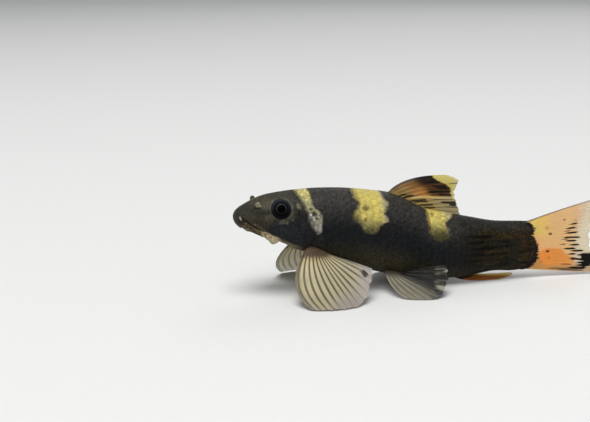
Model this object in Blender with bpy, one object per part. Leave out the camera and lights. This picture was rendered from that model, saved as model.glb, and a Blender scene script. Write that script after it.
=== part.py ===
# A panda garra, a small bottom-living fish, propped on its spread fins on a flat floor.
# The fish faces -X with its left side towards -Y, and +Z is up. The floor is at Z = 0.
# Lengths below are millimetres, measured from the snout tip and from the floor.
# MM turns them into Blender's metres.

import math

import bpy
import numpy as np

MM = 0.001
TOTAL_LENGTH = 77.0
GAP = 0.3
AROUND = 40
HALF_TURN = math.pi

# Each station of the body: distance from the snout, height of the back, height of the belly,
# half width, share of the height at which it is widest, squareness above and below that line.
STATIONS = (
    (0.0, 15.45, 15.45, 0.0, 0.50, 2.0, 2.0),
    (0.25, 16.35, 14.5, 1.45, 0.50, 2.0, 2.0),
    (1.05, 17.15, 13.55, 2.75, 0.49, 2.1, 2.2),
    (3.1, 18.32, 12.8, 3.85, 0.45, 2.1, 2.5),
    (5.4, 19.3, 11.75, 4.5, 0.42, 2.2, 2.6),
    (8.7, 19.95, 9.85, 5.1, 0.42, 2.2, 2.6),
    (12.6, 20.35, 8.65, 5.45, 0.42, 2.1, 2.6),
    (17.0, 20.5, 7.25, 5.7, 0.45, 2.0, 2.5),
    (22.0, 20.3, 5.55, 5.8, 0.47, 2.0, 2.4),
    (27.0, 19.7, 3.85, 5.7, 0.48, 2.0, 2.3),
    (31.0, 19.05, 2.7, 5.4, 0.50, 2.0, 2.2),
    (35.0, 17.35, 1.75, 4.95, 0.50, 2.0, 2.1),
    (39.0, 15.4, 1.25, 4.5, 0.50, 2.0, 2.0),
    (43.0, 14.5, 1.05, 4.0, 0.50, 2.0, 2.0),
    (48.0, 13.4, 1.3, 3.3, 0.50, 2.0, 2.0),
    (53.0, 12.4, 2.0, 2.6, 0.50, 2.0, 2.0),
    (58.0, 12.1, 1.85, 1.85, 0.50, 2.0, 2.0),
    (60.3, 11.95, 2.1, 1.15, 0.50, 2.0, 2.0),
)
BODY_END = 60.3

# The gill cover's hind edge: degrees down from the back, and distance from the snout.
GILL_LINE = ((0.0, 13.3), (60.0, 14.0), (98.0, 14.9), (128.0, 13.2), (155.0, 11.2), (180.0, 10.4))
GILL_COVER_LENGTH = 4.5
GILL_COVER_RAISE = 0.28
TAIL_CUT = 44.6

EYE_DISTANCE = 8.56
EYE_HEIGHT = 17.5
EYE_RADIUS = 1.93
EYE_HALF_DEPTH = 1.45
EYE_SUNK = 0.5
EYE_TILT_UP = math.radians(18)
EYE_TILT_FORWARD = math.radians(6)

NOSTRIL_DISTANCE = 4.3
NOSTRIL_ANGLE = 43.0
NOSTRIL_RADIUS = 0.42
NOSTRIL_SPACING = 0.95
NOSTRIL_FLAP = (0.22, 0.5, 0.62)

MOUTH_FRONT = 1.7
MOUTH_SWEEP = 3.7
MOUTH_HALF_WIDTH = 3.3
MOUTH_GROOVE_RADIUS = 0.26
LIP_RADIUS = 0.36
LIP_OFFSET = 0.58
DISC_DISTANCE = 6.0
DISC_RADII = (1.9, 2.4, 0.5)
DISC_PAD_RADII = (1.05, 1.4, 0.45)

BARBEL_ROOT_RADIUS = 0.3
BARBEL_TIP_RADIUS = 0.16
# Each barbel: distance of its root, degrees down from the back, length, and the way it points.
BARBELS = {
    "rostral": (1.3, 82.0, 1.2, (0.2, 1.0, -0.35)),
    "maxillary": (5.6, 126.0, 1.2, (0.3, 0.55, -1.0)),
}

RAY_THICKNESS = 0.74
WEB_THICKNESS = 0.5
TIP_SHARE = 0.6
WEB_NOTCH = 0.035
ROOT_DEPTH = 1.3
FLOOR_LIFT = 0.3
LONGEST_RAY = 0.75

PECTORAL_RAYS = 14
PECTORAL_BASE = (13.7, 17.1)
PECTORAL_BASE_ANGLES = (129.0, 139.0)
PECTORAL_CENTRE = (14.8, 4.6)
PECTORAL_SWEEP = (-14.0, 76.0)
PECTORAL_REACH = (9.8, 11.6, 11.4)
PECTORAL_FORWARD_BOW = 42.0
PECTORAL_HIND_LIFT = 5.5

PELVIC_RAYS = 9
PELVIC_BASE = (29.7, 32.1)
PELVIC_BASE_ANGLES = (151.0, 155.0)
PELVIC_CENTRE = (30.6, 3.2)
PELVIC_SWEEP = (12.0, 71.0)
PELVIC_REACH = (7.6, 11.8, 10.8)
PELVIC_FORWARD_BOW = 18.0
PELVIC_HIND_LIFT = 5.3

DORSAL_RAYS = 10
DORSAL_BASE = (31.0, 39.0)
DORSAL_MARGIN = ((43.6, 22.0), (45.6, 20.9), (44.7, 18.6), (45.2, 16.4), (46.0, 13.95))
DORSAL_FRONT_BEND = (3.2, 3.5)
DORSAL_HIND_BEND = (3.4, -0.95)

ANAL_RAYS = 7
ANAL_BASE = (45.2, 49.0)
ANAL_MARGIN = ((54.6, 0.0), (56.6, 0.35), (57.8, 0.85), (57.6, 1.35))
ANAL_FRONT_BEND = (2.6, -1.2)
ANAL_HIND_BEND = (2.6, -0.2)

CAUDAL_RAYS = 19
CAUDAL_ROOT_HEIGHTS = (11.8, 2.05)
CAUDAL_TIP_HEIGHTS = (16.2, 0.4)
# The tail's hind margin: share of the way from its middle to an edge, and how far short of the tips.
CAUDAL_MARGIN = ((0.0, 2.8), (0.4, 2.2), (0.72, 0.7), (0.88, 0.0), (1.0, 0.9))

SKIN_BLACK = (0.032, 0.034, 0.038)
SKIN_HEAD = (0.055, 0.052, 0.045)
EYE_BLACK = (0.008, 0.008, 0.01)
FIN_CREAM = (0.62, 0.55, 0.36)
FIN_RUST = (0.50, 0.24, 0.08)
FIN_ORANGE = (0.80, 0.36, 0.09)
BARBEL_TAN = (0.42, 0.36, 0.24)


def clear_scene():
    for found in list(bpy.data.objects):
        bpy.data.objects.remove(found)


def material(name, colour, roughness):
    made = bpy.data.materials.new(name)
    made.use_nodes = True
    shader = made.node_tree.nodes["Principled BSDF"]
    shader.inputs["Base Color"].default_value = (*colour, 1.0)
    shader.inputs["Roughness"].default_value = roughness
    shader.inputs["Metallic"].default_value = 0.0
    return made


def smooth_step(x):
    x = np.clip(x, 0.0, 1.0)
    return x * x * (3 - 2 * x)


def smooth_curve(knots, values, at):
    """A smooth curve through values at rising knots, read at the given places."""
    knots = np.asarray(knots, float)
    values = np.asarray(values, float)
    slopes = np.gradient(values, knots, axis=0)
    at = np.asarray(at, float)
    k = np.clip(np.searchsorted(knots, at, side="right") - 1, 0, len(knots) - 2)
    span = knots[k + 1] - knots[k]
    t = (at - knots[k]) / span
    if values.ndim > 1:
        span, t = span[..., None], t[..., None]
    start = (2 * t**3 - 3 * t**2 + 1) * values[k] + (t**3 - 2 * t**2 + t) * span * slopes[k]
    end = (3 * t**2 - 2 * t**3) * values[k + 1] + (t**3 - t**2) * span * slopes[k + 1]
    return start + end


def station_knots():
    """The stations with one more before the snout tip, its mirror image, so that the snout is round."""
    rows = np.array(STATIONS, float)
    before = rows[1].copy()
    before[1], before[2], before[3] = rows[1][2], rows[1][1], -rows[1][3]
    before[0] = rows[1][0]
    rows = np.vstack([before, rows])
    steps = np.linalg.norm(np.diff(rows[:, :4], axis=0), axis=1)
    knots = np.concatenate([[0.0], np.cumsum(steps)])
    return knots - knots[1], rows


KNOTS, ROWS = station_knots()
FINE = np.linspace(0.0, KNOTS[-1], 2000)
FINE_DISTANCE = np.maximum.accumulate(smooth_curve(KNOTS, ROWS[:, 0], FINE))


def section(distance):
    """Back height, belly height, half width, widest height and both squarenesses at a distance."""
    row = smooth_curve(KNOTS, ROWS, np.interp(distance, FINE_DISTANCE, FINE))
    back, belly, half, share, above, below = np.moveaxis(row[..., 1:], -1, 0)
    return back, belly, np.maximum(half, 0), belly + share * (back - belly), above, below


def skin(distance, degrees, grow=0.0):
    """The point of the body's surface at a distance from the snout and an angle down from the back."""
    distance, turn = np.broadcast_arrays(
        np.asarray(distance, float), np.radians(np.asarray(degrees, float))
    )
    back, belly, half, middle, above, below = section(distance)
    up = np.cos(turn) > 0
    square = np.where(up, above, below)
    height = np.where(up, back + grow - middle, middle - belly + grow)
    side = (half + grow) * np.sign(np.sin(turn)) * np.abs(np.sin(turn)) ** (2 / square)
    rise = height * np.sign(np.cos(turn)) * np.abs(np.cos(turn)) ** (2 / square)
    return np.stack([distance, side, middle + rise], axis=-1)


def gill_line(degrees):
    folded = 180.0 - np.abs(180.0 - np.asarray(degrees, float) % 360.0)
    angles, distances = zip(*GILL_LINE)
    return smooth_curve(angles, distances, folded)


def mesh_object(name, points, faces, finish):
    """A closed mesh from points in millimetres. The left side of the fish has negative Y."""
    points = np.asarray(points, float).copy()
    points[:, 0] -= TOTAL_LENGTH / 2
    mesh = bpy.data.meshes.new(name)
    mesh.from_pydata((points * MM).tolist(), [], faces)
    mesh.validate()
    mesh.update()
    made = bpy.data.objects.new(name, mesh)
    bpy.context.scene.collection.objects.link(made)
    mesh.materials.append(finish)
    return made


def ring_faces(rings, around):
    """Quads between rings of points that follow one another, each ring with as many points."""
    faces = []
    for ring in range(rings - 1):
        for i in range(around):
            a, b = ring * around + i, ring * around + (i + 1) % around
            faces.append((a, b, b + around, a + around))
    return faces


def loft(name, rings, finish, closed_tip):
    """A solid through rings. closed_tip is the point that the first ring closes on, or None for a wall.
    A wall is a shallow cone of smaller rings, so that it stays even on a curved edge."""
    around = len(rings[0])
    rings = list(rings)

    def wall(edge):
        centre = edge.mean(axis=0)
        return [centre + (edge - centre) * share for share in (0.66, 0.33)], centre

    if closed_tip is None:
        inner, start = wall(rings[0])
        rings = inner[::-1] + rings
    else:
        start = np.asarray(closed_tip, float)
    inner, end = wall(rings[-1])
    rings = rings + inner
    points = np.vstack([start[None], *rings, end[None]])
    last = len(points) - 1
    faces = [tuple(1 + v for v in reversed(face)) for face in ring_faces(len(rings), around)]
    for i in range(around):
        j = (i + 1) % around
        faces.append((0, 1 + i, 1 + j))
        faces.append((last, last - around + j, last - around + i))
    return mesh_object(name, points, faces, finish)


def angles_around():
    return np.arange(AROUND) * 360.0 / AROUND


def body_rings(start, end, count, grow=0.0):
    """Rings from one edge to the other. Each edge is a distance, or an array with one for each angle."""
    degrees = angles_around()
    shares = np.linspace(0.0, 1.0, count)
    return [skin(start + (end - start) * share, degrees, grow) for share in shares]


def raise_gill_cover(ring, degrees):
    """Moves the cheek outwards towards the gill cover's hind edge, which stands proud of the flank."""
    before_edge = gill_line(degrees) - ring[:, 0]
    along = smooth_step(1 - before_edge / GILL_COVER_LENGTH)
    folded = 180.0 - np.abs(180.0 - degrees % 360.0)
    side = smooth_step((folded - 35) / 30) * smooth_step((172 - folded) / 25)
    back, belly, half, middle, _, _ = section(ring[:, 0])
    centre = np.stack([ring[:, 0], 0 * middle, middle], axis=-1)
    outward = ring - centre
    reach = np.linalg.norm(outward, axis=1)
    return ring + outward * (GILL_COVER_RAISE * along * side / reach)[:, None]


def make_head(finish):
    degrees = angles_around()
    edge = gill_line(degrees) - GAP / 2
    edge_knots = np.interp(edge, FINE_DISTANCE, FINE)
    rings = []
    for share in np.linspace(0.0, 1.0, 25)[1:] ** 1.25:
        distance = np.interp(edge_knots * share, FINE, FINE_DISTANCE)
        rings.append(raise_gill_cover(skin(distance, degrees), degrees))
    tip = (0.0, 0.0, STATIONS[0][1])
    return loft("head", rings, finish, tip)


def make_trunk(finish):
    edge = gill_line(angles_around()) + GAP / 2
    rings = body_rings(edge, np.full(AROUND, TAIL_CUT - GAP / 2), 22)
    return loft("trunk", rings, finish, None)


def make_tail_stem(finish):
    start, end = np.full(AROUND, TAIL_CUT + GAP / 2), np.full(AROUND, BODY_END)
    return loft("tail_stem", body_rings(start, end, 10), finish, None)


def ellipsoid(name, centre, radii, finish, axes=None, segments=20, rings=12):
    """An ellipsoid with its pole along its last axis. axes are three unit vectors, as rows."""
    axes = np.eye(3) if axes is None else np.asarray(axes, float)
    points = [(0.0, 0.0, 1.0)]
    for ring in range(1, rings):
        down = HALF_TURN * ring / rings
        for i in range(segments):
            turn = 2 * HALF_TURN * i / segments
            points.append(
                (math.sin(down) * math.cos(turn), math.sin(down) * math.sin(turn), math.cos(down))
            )
    points.append((0.0, 0.0, -1.0))
    points = (np.array(points) * np.asarray(radii, float)) @ axes + np.asarray(centre, float)
    last = len(points) - 1
    faces = [
        tuple(1 + v for v in reversed(face)) for face in ring_faces(rings - 1, segments)
    ]
    for i in range(segments):
        j = (i + 1) % segments
        faces.append((0, 1 + i, 1 + j))
        faces.append((last, last - segments + j, last - segments + i))
    return mesh_object(name, points, faces, finish)


def tube(name, path, radii, finish, sides=10):
    """A round bar along a path, with a radius at each of its points and flat ends."""
    path = np.asarray(path, float)
    along = np.gradient(path, axis=0)
    along /= np.linalg.norm(along, axis=1)[:, None]
    side = np.cross(along, np.where(np.abs(along[:, 2:3]) < 0.9, [[0, 0, 1]], [[0, 1, 0]]))
    side /= np.linalg.norm(side, axis=1)[:, None]
    up = np.cross(side, along)
    turns = 2 * HALF_TURN * np.arange(sides) / sides
    rings = [
        p + r * (np.cos(turns)[:, None] * s + np.sin(turns)[:, None] * u)
        for p, r, s, u in zip(path, radii, side, up)
    ]
    faces = [tuple(reversed(face)) for face in ring_faces(len(rings), sides)]
    faces.append(tuple(range(sides)))
    faces.append(tuple(reversed(range((len(rings) - 1) * sides, len(rings) * sides))))
    return mesh_object(name, np.vstack(rings), faces, finish)


def apply_boolean(target, pieces, operation):
    """Joins pieces to target, or cuts them from it, in one go, and removes them."""
    group = bpy.data.collections.new("pieces")
    bpy.context.scene.collection.children.link(group)
    for piece in pieces:
        group.objects.link(piece)
    change = target.modifiers.new(operation.lower(), "BOOLEAN")
    change.operation = operation
    change.operand_type = "COLLECTION"
    change.collection = group
    bpy.context.view_layer.update()
    graph = bpy.context.evaluated_depsgraph_get()
    mesh = bpy.data.meshes.new_from_object(target.evaluated_get(graph))
    target.modifiers.clear()
    target.data = mesh
    for piece in pieces:
        bpy.data.objects.remove(piece)
    bpy.data.collections.remove(group)
    keep_largest(target)


def keep_largest(target):
    """Keeps the largest closed surface of a mesh."""
    mesh = target.data
    owner = np.arange(len(mesh.vertices))
    edges = np.array([edge.vertices[:] for edge in mesh.edges])
    while True:
        lowest = np.minimum(owner[edges[:, 0]], owner[edges[:, 1]])
        before = owner.copy()
        np.minimum.at(owner, edges[:, 0], lowest)
        np.minimum.at(owner, edges[:, 1], lowest)
        owner = owner[owner]
        if (owner == before).all():
            break
    groups = np.unique(owner)
    if len(groups) == 1:
        return
    places = np.array([vertex.co[:] for vertex in mesh.vertices])
    sizes = [np.prod(np.ptp(places[owner == group], axis=0) + 1e-9) for group in groups]
    chosen = groups[int(np.argmax(sizes))]
    renumber = np.cumsum(owner == chosen) - 1
    faces = [
        [int(renumber[v]) for v in face.vertices]
        for face in mesh.polygons
        if owner[face.vertices[0]] == chosen
    ]
    kept = bpy.data.meshes.new(mesh.name)
    kept.from_pydata(places[owner == chosen].tolist(), [], faces)
    kept.update()
    for finish in mesh.materials:
        kept.materials.append(finish)
    target.data = kept


def mirrored(point, side):
    """A point of the left side as it is, or its mirror image on the right side."""
    return np.asarray(point, float) * np.array([1.0, -1.0 if side == "left" else 1.0, 1.0])


def eye_axes(side):
    """Three unit vectors of an eye: along, across and out of the head."""
    out = np.array([
        -math.sin(EYE_TILT_FORWARD) * math.cos(EYE_TILT_UP),
        math.cos(EYE_TILT_FORWARD) * math.cos(EYE_TILT_UP),
        math.sin(EYE_TILT_UP),
    ])
    out = mirrored(out, side)
    along = np.cross(out, [0, 0, 1])
    along /= np.linalg.norm(along)
    return np.array([along, np.cross(out, along), out])


def angle_at_height(distance, height):
    """The angle down from the back at which the body's upper side has a height."""
    degrees = np.linspace(5, 110, 400)
    heights = skin(np.full(400, distance), degrees)[:, 2]
    return float(np.interp(-height, -heights, degrees))


def eye_centre(side):
    degrees = angle_at_height(EYE_DISTANCE, EYE_HEIGHT)
    return mirrored(skin(EYE_DISTANCE, degrees), side) - EYE_SUNK * eye_axes(side)[2]


def make_eye(side, finish):
    radii = (EYE_RADIUS, EYE_RADIUS, EYE_HALF_DEPTH)
    return ellipsoid(f"eye_{side}", eye_centre(side), radii, finish, eye_axes(side))


def eye_socket(side, finish):
    radii = (EYE_RADIUS + GAP, EYE_RADIUS + GAP, EYE_HALF_DEPTH + GAP)
    return ellipsoid(f"socket_{side}", eye_centre(side), radii, finish, eye_axes(side))


def nostril_places(side):
    """The front and hind openings of a nostril, and the flap's foot between them."""
    shifts = (-NOSTRIL_SPACING / 2, NOSTRIL_SPACING / 2, 0.0)
    return [mirrored(skin(NOSTRIL_DISTANCE + shift, NOSTRIL_ANGLE), side) for shift in shifts]


def mouth_path(offset):
    """The line of the mouth across the underside of the head, moved back by an offset."""
    sides = np.linspace(-MOUTH_HALF_WIDTH, MOUTH_HALF_WIDTH, 17)
    distance = MOUTH_FRONT + offset + MOUTH_SWEEP * (sides / MOUTH_HALF_WIDTH) ** 2
    return np.array([underside(d, y) for d, y in zip(distance, sides)])


def underside(distance, side):
    """The point of the head's underside at a distance and a sideways place."""
    degrees = np.linspace(180, 95, 300)
    points = skin(np.full(300, distance), degrees)
    height = np.interp(abs(side), points[:, 1], points[:, 2])
    return np.array([distance, side, height])


def head_features(head, finish):
    """Adds the lips, the sucking disc and the nostril flaps, and cuts the mouth, nostrils and eye sockets."""
    ends = np.sin(np.linspace(0.25, HALF_TURN - 0.25, 17)) ** 0.5
    lips = [
        tube(f"lip_{offset}", mouth_path(offset), LIP_RADIUS * ends, finish)
        for offset in (-LIP_OFFSET, LIP_OFFSET)
    ]
    slope_from, slope_to = underside(DISC_DISTANCE - 1, 0), underside(DISC_DISTANCE + 1, 0)
    along = (slope_to - slope_from) / np.linalg.norm(slope_to - slope_from)
    across = np.array([0.0, 1.0, 0.0])
    axes = [along, across, np.cross(along, across)]
    seat = underside(DISC_DISTANCE, 0)
    disc = ellipsoid("disc", seat, DISC_RADII, finish, axes, 24, 10)
    pad_seat = seat - axes[2] * DISC_RADII[2] * 0.6
    pad = ellipsoid("disc_pad", pad_seat, DISC_PAD_RADII, finish, axes, 20, 8)
    added, cut = [*lips, disc, pad], []
    for side in ("left", "right"):
        front, hind, foot = nostril_places(side)
        added.append(ellipsoid(f"flap_{side}", foot, NOSTRIL_FLAP, finish, None, 12, 8))
        for place in (front, hind):
            cut.append(ellipsoid(f"nostril_{side}", place, (NOSTRIL_RADIUS,) * 3, finish, None, 12, 8))
        cut.append(eye_socket(side, finish))
    groove = mouth_path(0.0)
    groove[:, 2] -= MOUTH_GROOVE_RADIUS / 2
    cut.append(tube("mouth_groove", groove, np.full(17, MOUTH_GROOVE_RADIUS * 1.5), finish))
    apply_boolean(head, cut, "DIFFERENCE")
    apply_boolean(head, added, "UNION")


def make_barbel(kind, side, finish):
    distance, degrees, length, way = BARBELS[kind]
    way = np.array(way) / np.linalg.norm(way)
    root = skin(distance, degrees) + way * (GAP + BARBEL_ROOT_RADIUS / 2)
    share = np.linspace(0.0, 1.0, 6)
    path = root + share[:, None] * way * length
    path[:, 2] -= 0.25 * share**2
    radii = BARBEL_ROOT_RADIUS + (BARBEL_TIP_RADIUS - BARBEL_ROOT_RADIUS) * share
    return tube(f"barbel_{kind}_{side}", mirrored(path, side), radii, finish, 8)


def bend_path(root, bend, tip, t):
    t = np.asarray(t, float)[:, None]
    return (1 - t) ** 2 * root + 2 * t * (1 - t) * bend + t**2 * tip


def fin_sheet(name, ray, rays, rows, finish, root_swell=0.0, swell_reach=0.25):
    """A fin as one closed sheet with a ridge along each ray. ray(f) gives the root, bend and tip of the
    ray at a share f of the fin's width, and the sheet starts ROOT_DEPTH inside the body."""
    columns = 2 * rays - 1
    steps = np.linspace(0.0, 1.0, rows)
    centre = np.zeros((columns, rows + 1, 3))
    for column in range(columns):
        root, bend, tip = (np.asarray(p, float) for p in ray(column / (columns - 1)))
        is_web = column % 2 == 1
        centre[column, 1:] = bend_path(root, bend, tip, steps * (1 - WEB_NOTCH * is_web))
    inward = (centre[:, 1] - centre[:, 2]).mean(axis=0)
    centre[:, 0] = centre[:, 1] + inward / np.linalg.norm(inward) * ROOT_DEPTH
    across, along = np.gradient(centre, axis=0), np.gradient(centre, axis=1)
    normal = np.cross(across, along)
    normal /= np.linalg.norm(normal, axis=2)[:, :, None]
    share = np.concatenate([[0.0], steps])
    thickness = np.where(np.arange(columns)[:, None] % 2 == 1, WEB_THICKNESS, RAY_THICKNESS)
    thickness = thickness * (1 - (1 - TIP_SHARE) * share**3)
    thickness = thickness + root_swell * smooth_step(1 - share / swell_reach)
    half = thickness[:, :, None] / 2 * normal
    front, rear = centre + half, centre - half
    points = np.concatenate([front.reshape(-1, 3), rear.reshape(-1, 3)])
    points[:, 2] = np.maximum(points[:, 2], 0.0)
    return mesh_object(name, points, sheet_faces(columns, rows + 1), finish)


def sheet_faces(columns, rows):
    """Triangles of a sheet's two faces, split alike, and of its four edges."""
    other = columns * rows
    faces = []
    for c in range(columns - 1):
        for r in range(rows - 1):
            a, b = c * rows + r, (c + 1) * rows + r
            for triangle in ((a, b, b + 1), (a, b + 1, a + 1)):
                faces.append(triangle)
                faces.append(tuple(other + v for v in reversed(triangle)))
    border = [c * rows for c in range(columns)]
    border += [(columns - 1) * rows + r for r in range(1, rows)]
    border += [c * rows + rows - 1 for c in range(columns - 2, -1, -1)]
    border += [r for r in range(rows - 2, 0, -1)]
    for a, b in zip(border, border[1:] + border[:1]):
        faces.append((b, a, other + a))
        faces.append((b, other + a, other + b))
    return faces


def paired_ray(side, base, base_angles, centre, sweep, reach, bow, lift, lift_from):
    """The rays of a paired fin, spread sideways from the lower flank down to the floor.
    sweep is in degrees back from straight out, for the first and last ray. reach is how far the first,
    the longest and the last ray go, seen from above."""

    def ray(f):
        root = skin(
            base[0] + (base[1] - base[0]) * f, base_angles[0] + (base_angles[1] - base_angles[0]) * f
        )
        tip_angle = math.radians(sweep[0] + (sweep[1] - sweep[0]) * f)
        level = float(smooth_curve((0.0, LONGEST_RAY, 1.0), reach, f))
        tip = np.array([
            centre[0] + level * math.sin(tip_angle),
            centre[1] + level * math.cos(tip_angle),
            FLOOR_LIFT + lift * float(smooth_step((f - lift_from) / (1 - lift_from))),
        ])
        bend_angle = tip_angle - math.radians(bow) * (1 - f) ** 2
        span = math.hypot(tip[0] - root[0], tip[1] - root[1]) * (0.75 - 0.25 * f)
        bend = root + span * np.array([math.sin(bend_angle), math.cos(bend_angle), 0.0])
        bend[2] = tip[2] + (root[2] - tip[2]) * (0.35 + 0.15 * f)
        return mirrored(root, side), mirrored(bend, side), mirrored(tip, side)

    return ray


def pectoral_ray(side):
    return paired_ray(
        side, PECTORAL_BASE, PECTORAL_BASE_ANGLES, PECTORAL_CENTRE, PECTORAL_SWEEP,
        PECTORAL_REACH, PECTORAL_FORWARD_BOW, PECTORAL_HIND_LIFT, 0.55,
    )


def pelvic_ray(side):
    return paired_ray(
        side, PELVIC_BASE, PELVIC_BASE_ANGLES, PELVIC_CENTRE, PELVIC_SWEEP,
        PELVIC_REACH, PELVIC_FORWARD_BOW, PELVIC_HIND_LIFT, 0.4,
    )


def median_ray(base, edge, margin, front_bend, hind_bend):
    """The rays of an upright fin on the back (edge 0) or the belly (edge 1) of the body."""
    knots = np.linspace(0.0, 1.0, len(margin))

    def ray(f):
        distance = base[0] + (base[1] - base[0]) * f
        root = np.array([distance, 0.0, section(distance)[edge]])
        s, z = smooth_curve(knots, margin, f)
        shift = np.array(front_bend) + (np.array(hind_bend) - np.array(front_bend)) * f**0.45
        bend = root + np.array([shift[0], 0.0, shift[1]])
        return root, bend, np.array([s, 0.0, z])

    return ray


def caudal_ray(f):
    root = np.array([
        BODY_END, 0.0, CAUDAL_ROOT_HEIGHTS[0] + (CAUDAL_ROOT_HEIGHTS[1] - CAUDAL_ROOT_HEIGHTS[0]) * f
    ])
    shares, short = zip(*CAUDAL_MARGIN)
    distance = TOTAL_LENGTH - float(smooth_curve(shares, short, abs(2 * f - 1)))
    height = CAUDAL_TIP_HEIGHTS[0] + (CAUDAL_TIP_HEIGHTS[1] - CAUDAL_TIP_HEIGHTS[0]) * f
    tip = np.array([distance, 0.0, height])
    bend = np.array([
        root[0] + 0.45 * (tip[0] - root[0]), 0.0, root[2] + 0.52 * (tip[2] - root[2])
    ])
    return root, bend, tip


def body_cutter(finish):
    """The body grown by the gap that fins keep to it."""
    start, end = np.full(AROUND, 9.0), np.full(AROUND, BODY_END - 0.01)
    rings = body_rings(start, end, 40, GAP)
    rings.append(rings[-1] + np.array([GAP, 0.0, 0.0]))
    return loft("body_cutter", rings, finish, None)


def finish_smooth(target):
    target.data.shade_smooth()
    target.data.set_sharp_from_angle(angle=math.radians(40))


def make_fish():
    black = material("skin_black", SKIN_BLACK, 0.45)
    olive = material("skin_head", SKIN_HEAD, 0.45)
    eye = material("eye", EYE_BLACK, 0.08)
    cream = material("fin_cream", FIN_CREAM, 0.5)
    rust = material("fin_rust", FIN_RUST, 0.5)
    orange = material("fin_orange", FIN_ORANGE, 0.5)
    tan = material("barbel", BARBEL_TAN, 0.5)

    head = make_head(olive)
    head_features(head, olive)
    made = [head, make_trunk(black), make_tail_stem(black)]
    for side in ("left", "right"):
        made.append(make_eye(side, eye))
        made += [make_barbel(kind, side, tan) for kind in BARBELS]

    dorsal = median_ray(DORSAL_BASE, 0, DORSAL_MARGIN, DORSAL_FRONT_BEND, DORSAL_HIND_BEND)
    anal = median_ray(ANAL_BASE, 1, ANAL_MARGIN, ANAL_FRONT_BEND, ANAL_HIND_BEND)
    fins = [
        fin_sheet("dorsal_fin", dorsal, DORSAL_RAYS, 9, rust),
        fin_sheet("anal_fin", anal, ANAL_RAYS, 8, rust),
        fin_sheet("caudal_fin", caudal_ray, CAUDAL_RAYS, 8, orange, 0.5, 0.4),
    ]
    for side in ("left", "right"):
        fins.append(fin_sheet(f"pectoral_fin_{side}", pectoral_ray(side), PECTORAL_RAYS, 10, cream, 0.4))
        fins.append(fin_sheet(f"pelvic_fin_{side}", pelvic_ray(side), PELVIC_RAYS, 9, cream, 0.1))
    for fin in fins:
        apply_boolean(fin, [body_cutter(black)], "DIFFERENCE")
    for part in made + fins:
        finish_smooth(part)


clear_scene()
make_fish()
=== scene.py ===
# The looks of the panda garra: one scaled skin, fins with bony rays in clear membranes, eyes and barbels.
# Lengths are millimetres from the snout tip and from the floor, as in the solids. MM turns them to metres.
# The fish faces -X, and its left side is towards -Y.

import math
from types import SimpleNamespace

import bpy
import numpy as np
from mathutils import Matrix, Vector


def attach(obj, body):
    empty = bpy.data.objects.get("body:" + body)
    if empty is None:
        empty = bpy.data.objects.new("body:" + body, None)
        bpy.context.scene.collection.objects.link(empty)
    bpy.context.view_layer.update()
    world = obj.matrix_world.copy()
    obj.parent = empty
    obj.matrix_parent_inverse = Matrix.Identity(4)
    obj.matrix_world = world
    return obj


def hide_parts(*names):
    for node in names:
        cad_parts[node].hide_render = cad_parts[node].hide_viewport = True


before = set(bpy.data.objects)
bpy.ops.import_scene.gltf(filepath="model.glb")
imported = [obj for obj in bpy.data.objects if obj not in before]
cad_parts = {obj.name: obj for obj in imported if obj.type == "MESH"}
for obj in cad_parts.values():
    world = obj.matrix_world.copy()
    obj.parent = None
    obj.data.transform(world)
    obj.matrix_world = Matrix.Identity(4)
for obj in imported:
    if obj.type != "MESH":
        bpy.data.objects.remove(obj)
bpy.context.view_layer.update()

MM = 0.001
TOTAL_LENGTH = 77.0
HALF_TURN = math.pi
SIDES = ("left", "right")

# Body stations: distance from the snout, back height, belly height, half width, the share of the height at
# which the body is widest, and how square it is above and below that line.
STATIONS = (
    (0.0, 15.45, 15.45, 0.0, 0.50, 2.0, 2.0),
    (0.25, 16.35, 14.5, 1.45, 0.50, 2.0, 2.0),
    (1.05, 17.15, 13.55, 2.75, 0.49, 2.1, 2.2),
    (3.1, 18.32, 12.8, 3.85, 0.45, 2.1, 2.5),
    (5.4, 19.3, 11.75, 4.5, 0.42, 2.2, 2.6),
    (8.7, 19.95, 9.85, 5.1, 0.42, 2.2, 2.6),
    (12.6, 20.35, 8.65, 5.45, 0.42, 2.1, 2.6),
    (17.0, 20.5, 7.25, 5.7, 0.45, 2.0, 2.5),
    (22.0, 20.3, 5.55, 5.8, 0.47, 2.0, 2.4),
    (27.0, 19.7, 3.85, 5.7, 0.48, 2.0, 2.3),
    (31.0, 19.05, 2.7, 5.4, 0.50, 2.0, 2.2),
    (35.0, 17.35, 1.75, 4.95, 0.50, 2.0, 2.1),
    (39.0, 15.4, 1.25, 4.5, 0.50, 2.0, 2.0),
    (43.0, 14.5, 1.05, 4.0, 0.50, 2.0, 2.0),
    (48.0, 13.4, 1.3, 3.3, 0.50, 2.0, 2.0),
    (53.0, 12.4, 2.0, 2.6, 0.50, 2.0, 2.0),
    (58.0, 12.1, 1.85, 1.85, 0.50, 2.0, 2.0),
    (60.3, 11.95, 2.1, 1.15, 0.50, 2.0, 2.0),
)
BODY_END = 60.3
SKIN_AROUND = 200
SKIN_STEP_HEAD = 0.115
SKIN_STEP_BODY = 0.21
SKIN_HEAD_LENGTH = 17.0
SKIN_TAPER = 1.5

# The hind edge of the gill cover as (angle down from the back, distance).
GILL_LINE = ((0.0, 13.3), (60.0, 14.0), (98.0, 14.9), (128.0, 13.2), (155.0, 11.2), (180.0, 10.4))
GILL_COVER_LENGTH = 4.5
GILL_COVER_RAISE = 0.28
GILL_RIM_WIDTH = 0.16
GILL_CLEFT_DEPTH = 0.22
# The crease of the cheek: distance, bow, height and reach up and down.
CHEEK_LINE = (10.7, 1.1, 13.6, 5.0)
# The groove along the flank: distances, and its heights there.
SIDE_LINE = ((15, 30, 45, 60), (12.6, 10.9, 8.0, 7.0))

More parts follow.
